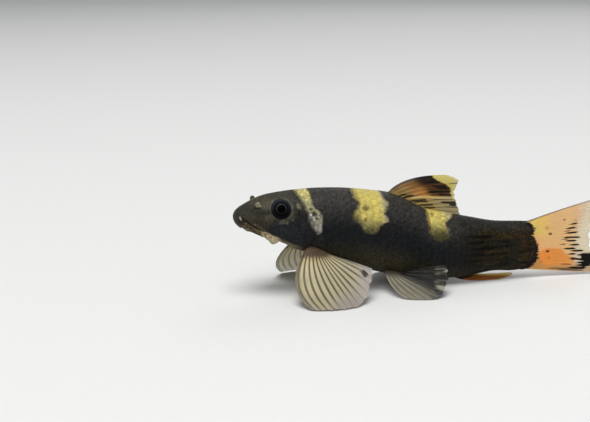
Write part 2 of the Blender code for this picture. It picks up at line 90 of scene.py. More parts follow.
EYE_DISTANCE = 8.56
EYE_HEIGHT = 17.5
EYE_RADIUS = 1.93
EYE_HALF_DEPTH = 1.45
EYE_SUNK = 0.5
EYE_LENS_RAISE = 0.10
EYE_TILT_UP = math.radians(18)
EYE_TILT_FORWARD = math.radians(6)
PUPIL_RADIUS = 0.70
IRIS_RING = (0.91, 0.108)

NOSTRIL_DISTANCE = 4.3
NOSTRIL_ANGLE = 43.0
NOSTRIL_RADIUS = 0.26
NOSTRIL_SPACING = 0.9
NOSTRIL_SLANT = 1.5
FLAP_HEIGHT = 1.0
FLAP_HALF_WIDTH = 0.72
FLAP_THICKNESS = 0.24

# Lines of the mouth as (distance, angle down from the back), from the middle line to the corner.
SNOUT_GROOVE = ((1.05, 76), (1.2, 78), (1.75, 90), (2.3, 97), (2.9, 103), (3.5, 110), (4.3, 113), (5.2, 116))
MOUTH_SLIT = (
    (1.6, 180), (1.58, 166), (1.6, 148), (1.8, 130), (2.4, 120), (3.0, 127), (3.6, 138), (4.3, 145),
    (5.3, 139),
)
LOWER_LIP = ((2.4, 180), (2.5, 164), (2.9, 149), (3.5, 147), (4.3, 152), (5.2, 150), (5.9, 142))
# How far each of them stands out of the skin, and how wide it is.
MOUTH_LINES = ((SNOUT_GROOVE, -0.20, 0.17), (MOUTH_SLIT, -0.40, 0.15), (LOWER_LIP, 0.22, 0.34))
DISC_DISTANCE = 6.0
DISC_RADII = (1.9, 2.4)

# The barbels: distance, angle down from the back, length, way, radius at root and tip, and two colours.
BARBELS = {
    "rostral": (
        1.0, 75.0, 0.62, (-0.1, 1.0, -0.15), (0.25, 0.15), ((0.34, 0.29, 0.18), (0.17, 0.14, 0.085)),
    ),
    "maxillary": (
        5.5, 127.0, 0.95, (0.3, 0.5, -1.0), (0.17, 0.08), ((0.20, 0.12, 0.065), (0.13, 0.07, 0.035)),
    ),
}
NOSTRIL_COLOURS = ((0.32, 0.29, 0.17), (0.080, 0.070, 0.045))

SCALE_ROWS_AROUND = 28
SCALE_STEP_BODY = 1.36
SCALE_STEP_TAIL = 1.12
SCALE_FIRST = 0.5
SCALE_START = 10.9
SCALE_LAST = 59.2
SCALE_OVERLAP = 1.45
SCALE_WIDENING = 1.12
SCALE_RAISE = 0.028
SCALE_MAP_LENGTH = 64.0
SCALE_MAP_PATCH = 0.003

ROOT_DEPTH = 1.2
WEB_THICKNESS = 0.09
FLOOR_LIFT = 0.15
LONGEST_RAY = 0.75
RAY_FORKS = (0.42, 0.74)
FORK_OVERLAP = 0.02
FIRST_RAY_STRENGTH = 1.35
MEMBRANE_ROWS = 34

# Each fin: its number of rays, the flesh at its foot (extra thickness, and reach as a share of the rays), how
# deep its margin dips between rays, how far its membrane sags there, and how thick a ray is at its root.
FINS = {
    "dorsal": SimpleNamespace(rays=10, flesh=(0.75, 0.09), notch=0.010, ripple=0.0, thickness=0.125),
    "caudal": SimpleNamespace(rays=19, flesh=(1.6, 0.16), notch=0.015, ripple=0.0, thickness=0.110),
    "anal": SimpleNamespace(rays=7, flesh=(0.9, 0.12), notch=0.02, ripple=0.0, thickness=0.11),
    "pectoral": SimpleNamespace(rays=14, flesh=(1.35, 0.125), notch=0.020, ripple=0.07, thickness=0.135),
    "pelvic": SimpleNamespace(rays=9, flesh=(1.1, 0.13), notch=0.020, ripple=0.07, thickness=0.135),
}

# Paired fins: their base along the body and down from the back; the point on the floor that their rays spread
# from, the turn of the first and the last ray round it, and the reach of the first, the longest and the last;
# how far the front rays bow forwards, and how far the hind tips lift, from which share across the fin.
PAIRED_FINS = {
    "pectoral": SimpleNamespace(
        base=(13.7, 17.1), base_angles=(129.0, 139.0), centre=(14.8, 4.6), sweep=(-14.0, 76.0),
        reach=(9.8, 11.6, 11.4), bow=42.0, lift=5.5, lift_from=0.55,
    ),
    "pelvic": SimpleNamespace(
        base=(29.7, 32.1), base_angles=(151.0, 155.0), centre=(30.6, 3.2), sweep=(12.0, 71.0),
        reach=(7.6, 11.8, 10.8), bow=18.0, lift=5.3, lift_from=0.4,
    ),
}

# Fins on the back (edge 0) and under the belly (edge 1): base, margin, and the bends of first and last ray.
DORSAL = SimpleNamespace(
    edge=0, base=(31.0, 39.0), front_bend=(3.2, 3.5), hind_bend=(3.4, -0.95),
    margin=((43.6, 22.0), (45.6, 20.9), (44.7, 18.6), (45.2, 16.4), (46.0, 13.95)),
)
ANAL = SimpleNamespace(
    edge=1, base=(45.2, 49.0), front_bend=(2.6, -1.2), hind_bend=(2.6, -0.2),
    margin=((54.6, 0.0), (56.6, 0.35), (57.8, 0.85), (57.6, 1.35)),
)

# The tail fin's roots and tips from the top ray to the lowest, and how far its margin stays short of the
# full length, by the share from the middle ray to the outer ones.
CAUDAL_ROOT_HEIGHTS = (11.8, 2.05)
CAUDAL_TIP_HEIGHTS = (16.2, 0.4)
CAUDAL_MARGIN = ((0.0, 2.8), (0.4, 2.2), (0.72, 0.7), (0.88, 0.0), (1.0, 0.9))

# The camera: its place, its turn from straight across, its look down, and its focal length in the
# photo's pixels.
CAMERA_PLACE = (-73.65, -222.6, 64.5)
CAMERA_AZIMUTH = math.radians(-12)
CAMERA_ELEVATION = math.radians(12)
FOCAL_PIXELS = 1200.0
PHOTO_WIDTH = 590.0
SENSOR_WIDTH = 36.0

# The lamps: place, width and power. All look at one point of the fish.
LAMPS = {
    "lamp_top": ((-160.0, -330.0, 1300.0), 850.0, 13.4),
    "lamp_fill": ((-520.0, -940.0, 1150.0), 900.0, 7.2),
    "lamp_back": ((620.0, 1000.0, 900.0), 800.0, 2.7),
}
LAMP_TARGET = (0.0, 0.0, 8.0)
FLOOR_HALF_WIDTH = 9000.0
SKY_COLOUR = (0.93, 0.96, 1.0, 1.0)
SKY_STRENGTH = 0.33

# Dark streaks on the fins, each from one (share across, share along) to another.
DORSAL_STREAKS = (
    ((0.09, 0.56), (0.20, 0.82)), ((0.24, 0.61), (0.33, 0.87)), ((0.32, 0.67), (0.40, 0.92)),
    ((0.36, 0.52), (0.48, 0.94)), ((0.48, 0.66), (0.565, 0.96)), ((0.69, 0.63), (0.755, 1.00)),
    ((0.775, 0.78), (0.80, 0.99)),
)
DORSAL_GREY_STREAKS = (
    ((0.58, 0.52), (0.67, 0.97)), ((0.27, 0.82), (0.32, 1.02)), ((0.81, 0.66), (0.86, 0.99)),
)
DORSAL_FOOT_STREAKS = (
    ((0.20, -0.30), (0.28, 0.20)), ((0.36, -0.25), (0.36, 0.29)), ((0.53, -0.25), (0.57, 0.44)),
    ((0.61, -0.02), (0.64, 0.42)), ((0.77, -0.10), (0.74, 0.46)), ((0.90, -0.05), (0.84, 0.43)),
)
CAUDAL_STREAKS = (
    ((0.23, 0.68), (0.24, 0.76)), ((0.285, 0.63), (0.295, 0.80)), ((0.34, 0.59), (0.355, 0.79)),
    ((0.41, 0.59), (0.43, 0.83)), ((0.47, 0.57), (0.51, 0.88)), ((0.53, 0.60), (0.55, 0.82)),
    ((0.60, 0.66), (0.61, 0.86)), ((0.65, 0.57), (0.66, 0.80)), ((0.69, 0.67), (0.70, 0.90)),
    ((0.74, 0.61), (0.74, 0.78)),
)
CAUDAL_LOBE_STREAKS = (
    ((0.80, 0.62), (0.84, 0.88)), ((0.88, 0.68), (0.86, 0.90)), ((0.95, 0.57), (0.955, 0.84)),
    ((0.76, 0.74), (0.76, 0.94)), ((0.915, 0.66), (0.91, 0.90)),
)
CAUDAL_THIN_STREAKS = (
    ((0.58, 0.51), (0.58, 0.66)), ((0.38, 0.57), (0.385, 0.72)), ((0.50, 0.55), (0.51, 0.70)),
    ((0.975, 0.29), (0.965, 0.78)), ((0.992, 0.44), (0.985, 0.83)), ((0.80, 0.62), (0.80, 0.74)),
)
CAUDAL_RED_STREAKS = (((0.90, 0.46), (0.90, 0.66)),)

# Spots as (distance, height, reach, stretch).
FIRST_BAR_MARKS = ((14.3, 17.35, 0.34, 1.2), (14.9, 16.5, 0.62, 1.2), (15.3, 15.6, 0.34, 1.2))
CAUDAL_SPOTS = (
    (65.4, 9.0, 0.34, 1.5), (65.0, 5.4, 0.34, 1.7), (70.7, 3.5, 0.42, 1.6), (68.4, 11.8, 0.24, 1.3),
)
CAUDAL_FAINT_SPOTS = ((64.7, 10.3, 0.55, 1.2), (65.3, 4.0, 0.45, 1.2), (63.6, 3.2, 0.40, 1.2))

# Lines of the markings, and of the painted shade along the snout's groove, over the distance from the snout,
# as (distance, height).
BACK_LINE = ((0, 17.5), (8, 19.6), (17, 20.4), (27, 19.7), (33, 18.2), (39, 15.4), (48, 13.3), (60, 12.0))
LIP_EDGE = ((0.0, 13.7), (0.9, 14.2), (1.9, 14.9), (2.9, 15.0), (3.9, 14.6), (5.4, 13.7), (7.0, 12.4))
GROOVE_LINE = (
    (0.0, 16.4), (1.2, 15.8), (1.75, 15.35), (2.3, 15.05), (2.95, 14.6), (3.5, 14.2), (4.3, 13.8),
    (5.3, 13.35),
)
CAUDAL_ORANGE_TOP = (
    (55.0, 4.0), (62.8, 4.9), (64.5, 5.9), (67.4, 5.8), (68.9, 4.7), (70.5, 3.7), (72.5, 2.0), (80.0, 1.0),
)
# The hind end of the black skin on the tail stem, as (height, distance).
STEM_EDGE = (
    (0.0, 59.0), (2.0, 60.8), (3.0, 62.1), (4.1, 62.8), (5.3, 62.9), (6.8, 62.7), (8.2, 62.0), (9.1, 61.6),
    (10.1, 61.8), (11.3, 61.1), (12.0, 60.2), (14.0, 59.0),
)
# On the dorsal fin: the yellow tip's foot as (share across, share along), and a pale line as
# (share along, share across).
DORSAL_YELLOW_EDGE = (
    (0.0, 0.79), (0.16, 0.785), (0.28, 0.83), (0.39, 0.89), (0.48, 0.925), (0.58, 0.94), (0.67, 0.965),
    (0.80, 1.02), (1.0, 1.10),
)
DORSAL_CREAM_LINE = ((0.0, 0.45), (0.14, 0.46), (0.43, 0.48), (0.71, 0.58), (0.98, 0.66), (1.1, 0.69))

# The pale bars: left and right edge as (height, distance), how ragged the edges are, how soft the left and
# the right one, and the heights between which the low end fades out.
BARS = (
    (
        ((10.0, 16.6), (12.3, 15.9), (13.2, 15.0), (14.6, 14.3), (15.9, 13.85), (16.7, 13.85), (17.6, 13.35),
         (18.9, 12.85), (19.7, 12.4), (20.6, 12.1)),
        ((10.0, 14.9), (12.3, 15.6), (13.0, 16.0), (14.6, 16.25), (15.9, 16.2), (16.9, 15.75), (17.5, 15.0),
         (18.7, 14.6), (19.7, 14.45), (20.6, 14.4)),
        0.28, 0.62, 0.34, (12.2, 12.9),
    ),
    (
        ((10.0, 27.2), (12.0, 26.3), (12.5, 24.8), (13.2, 24.3), (14.1, 23.7), (14.7, 22.75), (15.6, 22.6),
         (16.5, 23.0), (17.3, 23.7), (18.0, 24.1), (18.8, 23.4), (20.4, 23.15)),
        ((10.0, 26.6), (12.0, 26.9), (13.0, 27.5), (13.9, 28.1), (14.3, 29.4), (15.0, 29.35), (15.8, 28.75),
         (16.5, 29.2), (17.6, 29.8), (18.2, 29.4), (18.9, 29.0), (20.4, 28.8)),
        0.36, 0.62, 0.48, (11.6, 12.5),
    ),
    (
        ((8.0, 40.6), (9.5, 40.2), (9.7, 39.8), (10.4, 39.0), (11.3, 38.6), (12.9, 38.35), (15.6, 38.3)),
        ((8.0, 40.2), (9.5, 41.0), (9.8, 41.7), (10.2, 42.5), (11.1, 42.6), (12.0, 42.3), (13.0, 41.8),
         (13.5, 42.8), (14.2, 44.0), (15.6, 44.3)),
        0.34, 0.50, 0.50, (8.9, 10.6),
    ),
)

# Colours, as light reflected in red, green and blue.
BACK_BROWN = (0.040, 0.0375, 0.0330)
SIDE_BLACK = (0.0090, 0.0098, 0.0110)
BELLY_BLACK = (0.0420, 0.0350, 0.0195)
BELLY_PALE = (0.20, 0.165, 0.105)
HEAD_OLIVE = (0.043, 0.039, 0.029)
HEAD_DARK = (0.023, 0.022, 0.018)
HEAD_LIGHT = (0.062, 0.056, 0.036)
SNOUT_DARK = (0.026, 0.022, 0.015)
NOSE_OLIVE = (0.085, 0.078, 0.046)
CHEEK_BLACK = (0.0165, 0.0175, 0.0205)
GILL_BLACK = (0.0085, 0.009, 0.010)
STRIPE_BLACK = (0.0125, 0.0120, 0.0120)
EYE_FRONT = (0.072, 0.064, 0.040)
# The pale ring round the eye: partly the skin's own pale colour, partly a painted highlight on the lit side
# of the rim.
EYE_RIM_PALE_AND_HIGHLIGHT = (0.120, 0.116, 0.095)
EYE_UNDERLINE = (0.120, 0.112, 0.076)
FLECK_OLIVE = (0.075, 0.070, 0.048)
FLECK_RED = (0.085, 0.022, 0.009)
SPECK_BLUE = (0.26, 0.27, 0.29)
SPECK_WHITE = (0.60, 0.60, 0.56)
THROAT_TAN = (0.56, 0.47, 0.28)
THROAT_DARK = (0.14, 0.118, 0.068)
LIP_BROWN = (0.190, 0.140, 0.075)
LIP_DARK = (0.050, 0.030, 0.015)
# Painted shade in the recessed groove along the snout, above the lips.
PAINTED_GROOVE_SHADE = (0.0065, 0.0055, 0.0050)
BAR_YELLOW = (0.585, 0.475, 0.128)
BAR_BRIGHT = (0.50, 0.435, 0.170)
BAR_DULL = (0.235, 0.210, 0.082)
BAR_CREAM = (0.335, 0.315, 0.165)
BAR_GREY = (0.300, 0.285, 0.240)
BAR_BROWN = (0.25, 0.20, 0.075)
BAR_SHADE = (0.14, 0.135, 0.060)
BAR_BLOTCH = (0.085, 0.070, 0.022)
BAR_OCHRE = (0.16, 0.115, 0.035)
BAR_RUST = (0.16, 0.065, 0.020)
STEM_BROWN = (0.056, 0.0340, 0.0075)
STEM_OLIVE = (0.0105, 0.0076, 0.0016)
STEM_BLACK = (0.0015, 0.0011, 0.0003)
STEM_SMOOTH = (0.0135, 0.0135, 0.0080)
STEM_RUST = (0.040, 0.0205, 0.0070)
STEM_TOP = (0.0330, 0.0305, 0.0260)
IRIS_BLACK = (0.0042, 0.0048, 0.0056)
IRIS_BLUE = (0.018, 0.0205, 0.0245)
IRIS_SILVER = (0.085, 0.085, 0.078)
PUPIL_BLACK = (0.0008, 0.0008, 0.0008)
FIN_BLACK = (0.0030, 0.0027, 0.0024)
DORSAL_YELLOW = (0.60, 0.50, 0.120)
DORSAL_RUST = (0.47, 0.195, 0.040)
DORSAL_TAN = (0.285, 0.190, 0.062)
DORSAL_PALE_FOOT = (0.37, 0.265, 0.075)
DORSAL_PALE_TIP = (0.32, 0.260, 0.110)
DORSAL_BROWN = (0.095, 0.038, 0.013)
DORSAL_DEEP = (0.040, 0.013, 0.002)
DORSAL_GROOVE = (0.085, 0.040, 0.014)
DORSAL_CREAM = (0.58, 0.42, 0.150)
DORSAL_EDGE = (0.050, 0.045, 0.050)
DORSAL_FRINGE = (0.60, 0.58, 0.46)
DORSAL_BLACK = (0.008, 0.005, 0.004)
DORSAL_GREY = (0.055, 0.040, 0.032)
CAUDAL_PEACH = (0.82, 0.47, 0.205)
CAUDAL_ORANGE = (0.84, 0.295, 0.055)
CAUDAL_DEEP_ORANGE = (0.72, 0.23, 0.035)
CAUDAL_YELLOW = (0.80, 0.59, 0.155)
CAUDAL_OCHRE = (0.46, 0.27, 0.095)
CAUDAL_CLEAR = (0.80, 0.66, 0.43)
CAUDAL_GROOVE = (0.52, 0.27, 0.12)
CAUDAL_FAINT_SPOT = (0.36, 0.15, 0.035)
CAUDAL_SPOT = (0.060, 0.012, 0.010)
CAUDAL_THIN_BLACK = (0.030, 0.014, 0.010)
CAUDAL_RED = (0.19, 0.008, 0.008)
CAUDAL_FOOT = (0.0075, 0.0050, 0.0030)
CAUDAL_EDGE = (0.09, 0.085, 0.09)
ANAL_RUST = (0.27, 0.085, 0.010)
ANAL_YELLOW = (0.46, 0.34, 0.085)
ANAL_CLEAR = (0.52, 0.46, 0.26)
ANAL_GROOVE = (0.10, 0.034, 0.006)
PECTORAL_WEB = (0.55, 0.475, 0.285)
PECTORAL_FRONT_WEB = (0.60, 0.50, 0.27)
PECTORAL_TIP_WEB = (0.50, 0.43, 0.37)
PECTORAL_RAY = (0.50, 0.43, 0.26)
PECTORAL_FRONT_RAY = (0.56, 0.47, 0.26)
PECTORAL_TIP_RAY = (0.50, 0.42, 0.37)
PECTORAL_GROOVE = (0.060, 0.040, 0.020)
PECTORAL_INNER = (0.085, 0.080, 0.062)
PECTORAL_EDGE = (0.080, 0.064, 0.043)
PECTORAL_FOOT = (0.062, 0.038, 0.022)
PELVIC_WEB = (0.25, 0.232, 0.170)
PELVIC_DARK_WEB = (0.013, 0.013, 0.012)
PELVIC_RAY = (0.30, 0.275, 0.200)
PELVIC_DARK_RAY = (0.050, 0.049, 0.042)
PELVIC_GROOVE = (0.12, 0.108, 0.078)
PELVIC_TIP = (0.36, 0.33, 0.26)
PELVIC_FOOT = (0.050, 0.040, 0.028)
FLOOR_PALE = (0.72, 0.72, 0.70)


def smooth_step(x):
    x = np.clip(x, 0.0, 1.0)
    return x * x * (3 - 2 * x)


def smooth_curve(knots, values, at):
    """A smooth curve through values at rising knots, read at the given places."""
    knots = np.asarray(knots, float)
    values = np.asarray(values, float)
    slopes = np.gradient(values, knots, axis=0)
    at = np.asarray(at, float)
    k = np.clip(np.searchsorted(knots, at, side="right") - 1, 0, len(knots) - 2)
    span = knots[k + 1] - knots[k]
    t = (at - knots[k]) / span
    if values.ndim > 1:
        span, t = span[..., None], t[..., None]
    start = (2 * t**3 - 3 * t**2 + 1) * values[k] + (t**3 - 2 * t**2 + t) * span * slopes[k]
    end = (3 * t**2 - 2 * t**3) * values[k + 1] + (t**3 - t**2) * span * slopes[k + 1]
    return start + end


def station_knots():
    """The stations with one more before the snout tip, its mirror image, so that the snout is round."""
    rows = np.array(STATIONS, float)
    before = rows[1].copy()
    before[1], before[2], before[3] = rows[1][2], rows[1][1], -rows[1][3]
    rows = np.vstack([before, rows])
    steps = np.linalg.norm(np.diff(rows[:, :4], axis=0), axis=1)
    knots = np.concatenate([[0.0], np.cumsum(steps)])
    return knots - knots[1], rows


KNOTS, ROWS = station_knots()
FINE = np.linspace(0.0, KNOTS[-1], 2000)
FINE_DISTANCE = np.maximum.accumulate(smooth_curve(KNOTS, ROWS[:, 0], FINE))


def section(distance):
    """Back height, belly height, half width, widest height and both squarenesses at a distance."""
    row = smooth_curve(KNOTS, ROWS, np.interp(distance, FINE_DISTANCE, FINE))
    back, belly, half, share, above, below = np.moveaxis(row[..., 1:], -1, 0)
    return back, belly, np.maximum(half, 0), belly + share * (back - belly), above, below


def skin_point(distance, degrees, grow=0.0):
    """The point of the body's surface at a distance from the snout and an angle down from the back."""
    distance, turn = np.broadcast_arrays(np.asarray(distance, float), np.radians(degrees))
    back, belly, half, middle, above, below = section(distance)
    up = np.cos(turn) > 0
    square = np.where(up, above, below)
    height = np.where(up, back + grow - middle, middle - belly + grow)
    side = (half + grow) * np.sign(np.sin(turn)) * np.abs(np.sin(turn)) ** (2 / square)
    rise = height * np.sign(np.cos(turn)) * np.abs(np.cos(turn)) ** (2 / square)
    return np.stack([distance, side, middle + rise], axis=-1)


def folded(degrees):
    """An angle down from the back, the same on both sides."""
    return 180.0 - np.abs(180.0 - np.asarray(degrees, float) % 360.0)


def gill_line(degrees):
    angles, distances = zip(*GILL_LINE)
    return smooth_curve(angles, distances, folded(degrees))


def mirrored(point, side):
    """A point of the left side as it is, or its mirror image on the right side."""
    return np.asarray(point, float) * np.array([1.0, -1.0 if side == "left" else 1.0, 1.0])


def unit(vectors):
    vectors = np.asarray(vectors, float)
    return vectors / np.maximum(np.linalg.norm(vectors, axis=-1, keepdims=True), 1e-9)


def add_object(name, data):
    made = bpy.data.objects.new(name, data)
    bpy.context.scene.collection.objects.link(made)
    return made


def piece(name, points, faces, finishes, smooth=True, edges=()):
    """A mesh object from points in millimetres, in the frame's own place."""
    points = np.asarray(points, float).copy()
    points[:, 0] -= TOTAL_LENGTH / 2
    mesh = bpy.data.meshes.new(name)
    mesh.from_pydata((points * MM).tolist(), list(edges), [tuple(int(v) for v in face) for face in faces])
    mesh.update()
    for finish in finishes:
        mesh.materials.append(finish)
    if smooth:
        mesh.shade_smooth()
    return add_object(name, mesh)


def quads(index):
    """The four-sided faces between the points of a grid of point numbers."""
    corners = (index[:-1, :-1], index[1:, :-1], index[1:, 1:], index[:-1, 1:])
    return np.stack(corners, axis=-1).reshape(-1, 4).tolist()


def border_of(index):
    """The point numbers on the edge of a grid, once round."""
    border = index[:, 0].tolist() + index[-1, 1:].tolist()
    return border + index[-2::-1, -1].tolist() + index[0, -2:0:-1].tolist()


def tube_faces(rings, around, start, end, first=0):
    """Faces of a closed tube: quads between its rings, and triangles to its start and end points."""
    index = first + np.arange(rings * around).reshape(rings, around)
    index = np.hstack([index, index[:, :1]])
    faces = quads(index)
    for k in range(around):
        faces.append((start, index[0, k], index[0, k + 1]))
        faces.append((end, index[-1, k + 1], index[-1, k]))
    return faces


def sheet_faces(columns, rows):
    """Faces of a thin sheet: its two sides, and the strip round its edge."""
    other = columns * rows
    index = np.arange(other).reshape(columns, rows)
    front = np.array(quads(index))
    faces = front.tolist() + (front[:, ::-1] + other).tolist()
    border = border_of(index)
    faces.extend((q, p, other + p, other + q) for p, q in zip(border, border[1:] + border[:1]))
    return faces


def point_values(made, name, values):
    """Stores one number, or one vector, for each point of a mesh."""
    values = np.asarray(values, np.float32)
    kind, field = ("FLOAT", "value") if values.ndim == 1 else ("FLOAT_VECTOR", "vector")
    made.data.attributes.new(name, kind, "POINT").data.foreach_set(field, values.ravel())


def dress(made, slot, *nodes):
    """Lets a finished piece ride with the fish, in place of its nodes of the solid model."""
    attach(made, "root")
    if nodes:
        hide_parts(*nodes)


def add_node(tree, kind, settings, sockets, link):
    """A new node: its settings first, then its inputs, by name or by number, each a value or a link."""
    made = tree.nodes.new(kind)
    for name, setting in settings.items():
        setattr(made, name, setting)
    for key, source in sockets.items() if isinstance(sockets, dict) else enumerate(sockets):
        link(source, made.inputs[key])
    return made


def math_step(operation, turned=False):
    """An operator of Value as one math node. Turned, it takes the other side first."""

    def step(value, *others):
        sides = [*others, value] if turned else [value, *others]
        return value.paint.node("ShaderNodeMath", {"operation": operation}, sides)

    return step


class Value:
    """A socket of a shader tree, so that arithmetic in Python adds the nodes that work it out."""

    def __init__(self, paint, socket):
        self.paint = paint
        self.socket = socket

    __add__ = __radd__ = math_step("ADD")
    __sub__ = math_step("SUBTRACT")
    __rsub__ = math_step("SUBTRACT", turned=True)
    __mul__ = __rmul__ = math_step("MULTIPLY")
    __truediv__ = math_step("DIVIDE")
    __abs__ = math_step("ABSOLUTE")
    least = math_step("MINIMUM")
    most = math_step("MAXIMUM")
    fraction = math_step("FRACT")
    sine = math_step("SINE")
    root = math_step("SQRT")

    def swing(self, amount):
        """A noise from 0 to 1 as a shift to both sides, of half the amount at most."""
        return (self - 0.5) * amount

    def rises(self, start, end):
        """0 before start, 1 after end, and smooth between. start may be the larger one."""
        settings = {"interpolation_type": "SMOOTHSTEP", "clamp": True}
        return self.paint.node("ShaderNodeMapRange", settings, {
            "Value": self, "From Min": start, "From Max": end, "To Min": 0.0, "To Max": 1.0,
        })

    def near(self, centre, reach):
        """1 at centre, and 0 further than reach away."""
        return abs(self - centre).rises(reach, 0.0)

    def through(self, places, span):
        """A smooth curve through (place, value) pairs. span is the largest place and value."""
        across, up = span
        curve = self.paint.tree.nodes.new("ShaderNodeFloatCurve")
        line = curve.mapping.curves[0]
        while len(line.points) < len(places):
            line.points.new(0.5, 0.5)
        for point, (place, value) in zip(line.points, places):
            point.location = (place / across, value / up)
        curve.mapping.update()
        self.paint.link(self / across, curve.inputs["Value"])
        return Value(self.paint, curve.outputs[0]) * up


class Paint:
    """A material's node tree, with the sockets of its Principled shader."""

    def __init__(self, name, roughness=0.5, **fixed):
        self.material = bpy.data.materials.new(name)
        self.material.use_nodes = True
        self.tree = self.material.node_tree
        self.shader = self.tree.nodes["Principled BSDF"]
        self.set(Roughness=roughness, **fixed)

    def set(self, **sockets):
        for name, source in sockets.items():
            self.link(source, self.shader.inputs[name.replace("_", " ")])
        return self.material

    def link(self, source, socket):
        if isinstance(source, Value):
            self.tree.links.new(source.socket, socket)
        elif isinstance(source, tuple) and len(source) == 3 and len(socket.default_value) == 4:
            socket.default_value = (*source, 1.0)
        else:
            socket.default_value = source

    def node(self, kind, settings, sockets, output=0):
        return Value(self, add_node(self.tree, kind, settings, sockets, self.link).outputs[output])

    def place(self):
        """Millimetres from the snout, to the side and up, each as a value, and the point as a vector."""
        where = self.node("ShaderNodeTexCoord", {}, [], "Object")
        scaled = self.node("ShaderNodeVectorMath", {"operation": "MULTIPLY_ADD"}, [
            where, (1000.0, 1000.0, 1000.0), (TOTAL_LENGTH / 2, 0.0, 0.0),
        ])
        split = add_node(self.tree, "ShaderNodeSeparateXYZ", {}, [scaled], self.link)
        along, side, up = (Value(self, output) for output in split.outputs)
        return along, side, up, scaled

    def stored(self, name):
        return self.node("ShaderNodeAttribute", {"attribute_name": name}, [], "Fac")

    def vector(self, x, y, z):
        return self.node("ShaderNodeCombineXYZ", {}, [x, y, z])

    def noise(self, where, scale, detail=2.0, roughness=0.5):
        sockets = {"Vector": where, "Scale": scale, "Detail": detail, "Roughness": roughness}
        return self.node("ShaderNodeTexNoise", {}, sockets, "Fac")

    def cells(self, where, scale):
        return self.node("ShaderNodeTexVoronoi", {}, {"Vector": where, "Scale": scale}, "Distance")

    def mix(self, share, first, second):
        return self.node("ShaderNodeMix", {"data_type": "RGBA"}, {0: share, 6: first, 7: second}, 2)

    def layers(self, base, *layers):
        """Colours laid over a base, each a (share, colour) pair."""
        for share, colour in layers:
            base = self.mix(share, base, colour)
        return base

    def scaled(self, colour, amount):
        """A colour made lighter or darker by a value."""
        grey = self.vector(amount, amount, amount)
        return self.node("ShaderNodeVectorMath", {"operation": "MULTIPLY"}, [colour, grey])

    def bump(self, height, distance, strength=1.0):
        sockets = {"Height": height, "Distance": distance, "Strength": strength}
        return self.node("ShaderNodeBump", {}, sockets)


def round_spot(along, up, centre, reach, stretch=1.0, ragged=0.0):
    """1 in the middle of a spot and 0 outside its reach. A stretch above 1 makes it long."""
    x, y = (along - centre[0]) / stretch, up - centre[1]
    return ((x * x + y * y).root() + ragged).rises(reach, reach * 0.45)


def spots_on(along, up, spots, ragged):
    """Several spots as one mask."""
    total = 0.0
    for distance, height, reach, stretch in spots:
        total = round_spot(along, up, (distance, height), reach, stretch, ragged) + total
    return total.least(1.0)


def streaks_on(across, along, half_width, streaks):
    """Streaks on a fin as one mask, each pointed at both ends."""
    total = 0.0
    for (first, start), (last, end) in streaks:
        slope = (last - first) / (end - start)
        gap = abs(across - along * slope - (first - slope * start))
        reach = along.rises(start - 0.03, start + 0.10) * along.rises(end + 0.02, end - 0.06)
        total = (reach * half_width - gap).rises(0.0, half_width * 0.55) + total
    return total.least(1.0)


def stem_end(paint, along, up):
    """1 on the black skin of the tail stem, 0 on the fin behind its ragged end."""
    fringe = paint.noise(paint.vector(along * 0.35, 0.0, up * 2.6), 1.6, 2.0, 0.6)
    return (up.through(STEM_EDGE, (25.0, 80.0)) + fringe.swing(3.0) - along).rises(-0.10, 0.10)


def tail_colours(paint, along, up, fine, jag):
    """The caudal fin's ground colours: yellow above, peach between, orange and ochre below, clear behind."""
    yellow = (up + jag).rises(7.8, 9.6) * (along + jag).rises(66.2, 62.8)
    orange = (along.through(CAUDAL_ORANGE_TOP, (80.0, 10.0)) + jag * 0.55 - up).rises(-0.45, 0.35)
    low = (up + jag * 0.5).rises(2.9, 1.8)
    front = (along + up * 0.5 + jag).rises(66.0, 64.4)
    margin = (along + jag - (up - 8.0).most(0.0) * 0.35).rises(69.2, 72.4)
    return paint.layers(
        CAUDAL_PEACH,
        (yellow * 0.9, CAUDAL_YELLOW),
        (margin, CAUDAL_CLEAR),
        (orange * (1.0 - margin * 0.6), CAUDAL_ORANGE),
        (orange * along.near(67.0, 3.0) * fine.rises(0.48, 0.62) * 0.5, CAUDAL_DEEP_ORANGE),
        (orange * (low + front).least(1.0) * 0.75, CAUDAL_OCHRE),
    )


def skin_values(paint):
    """Places on the skin, how far below the back they lie, and the noises that fray the markings."""
    along, side, up, where = paint.place()
    fine = paint.noise(where, 3.2, 3.0, 0.6)
    ragged = paint.noise(where, 1.25, 4.0, 0.62)
    return SimpleNamespace(
        along=along, side=side, up=up, where=where, out=abs(side), fine=fine, ragged=ragged,
        grain=paint.noise(where, 5.0, 2.0, 0.6),
        broad=paint.noise(where, 0.42, 3.0, 0.55),
        blots=paint.noise(where, 1.5, 3.0, 0.65),
        wobble=ragged.swing(3.0) + fine.swing(0.9),
        depth=along.through(BACK_LINE, (80.0, 25.0)) - up,
    )


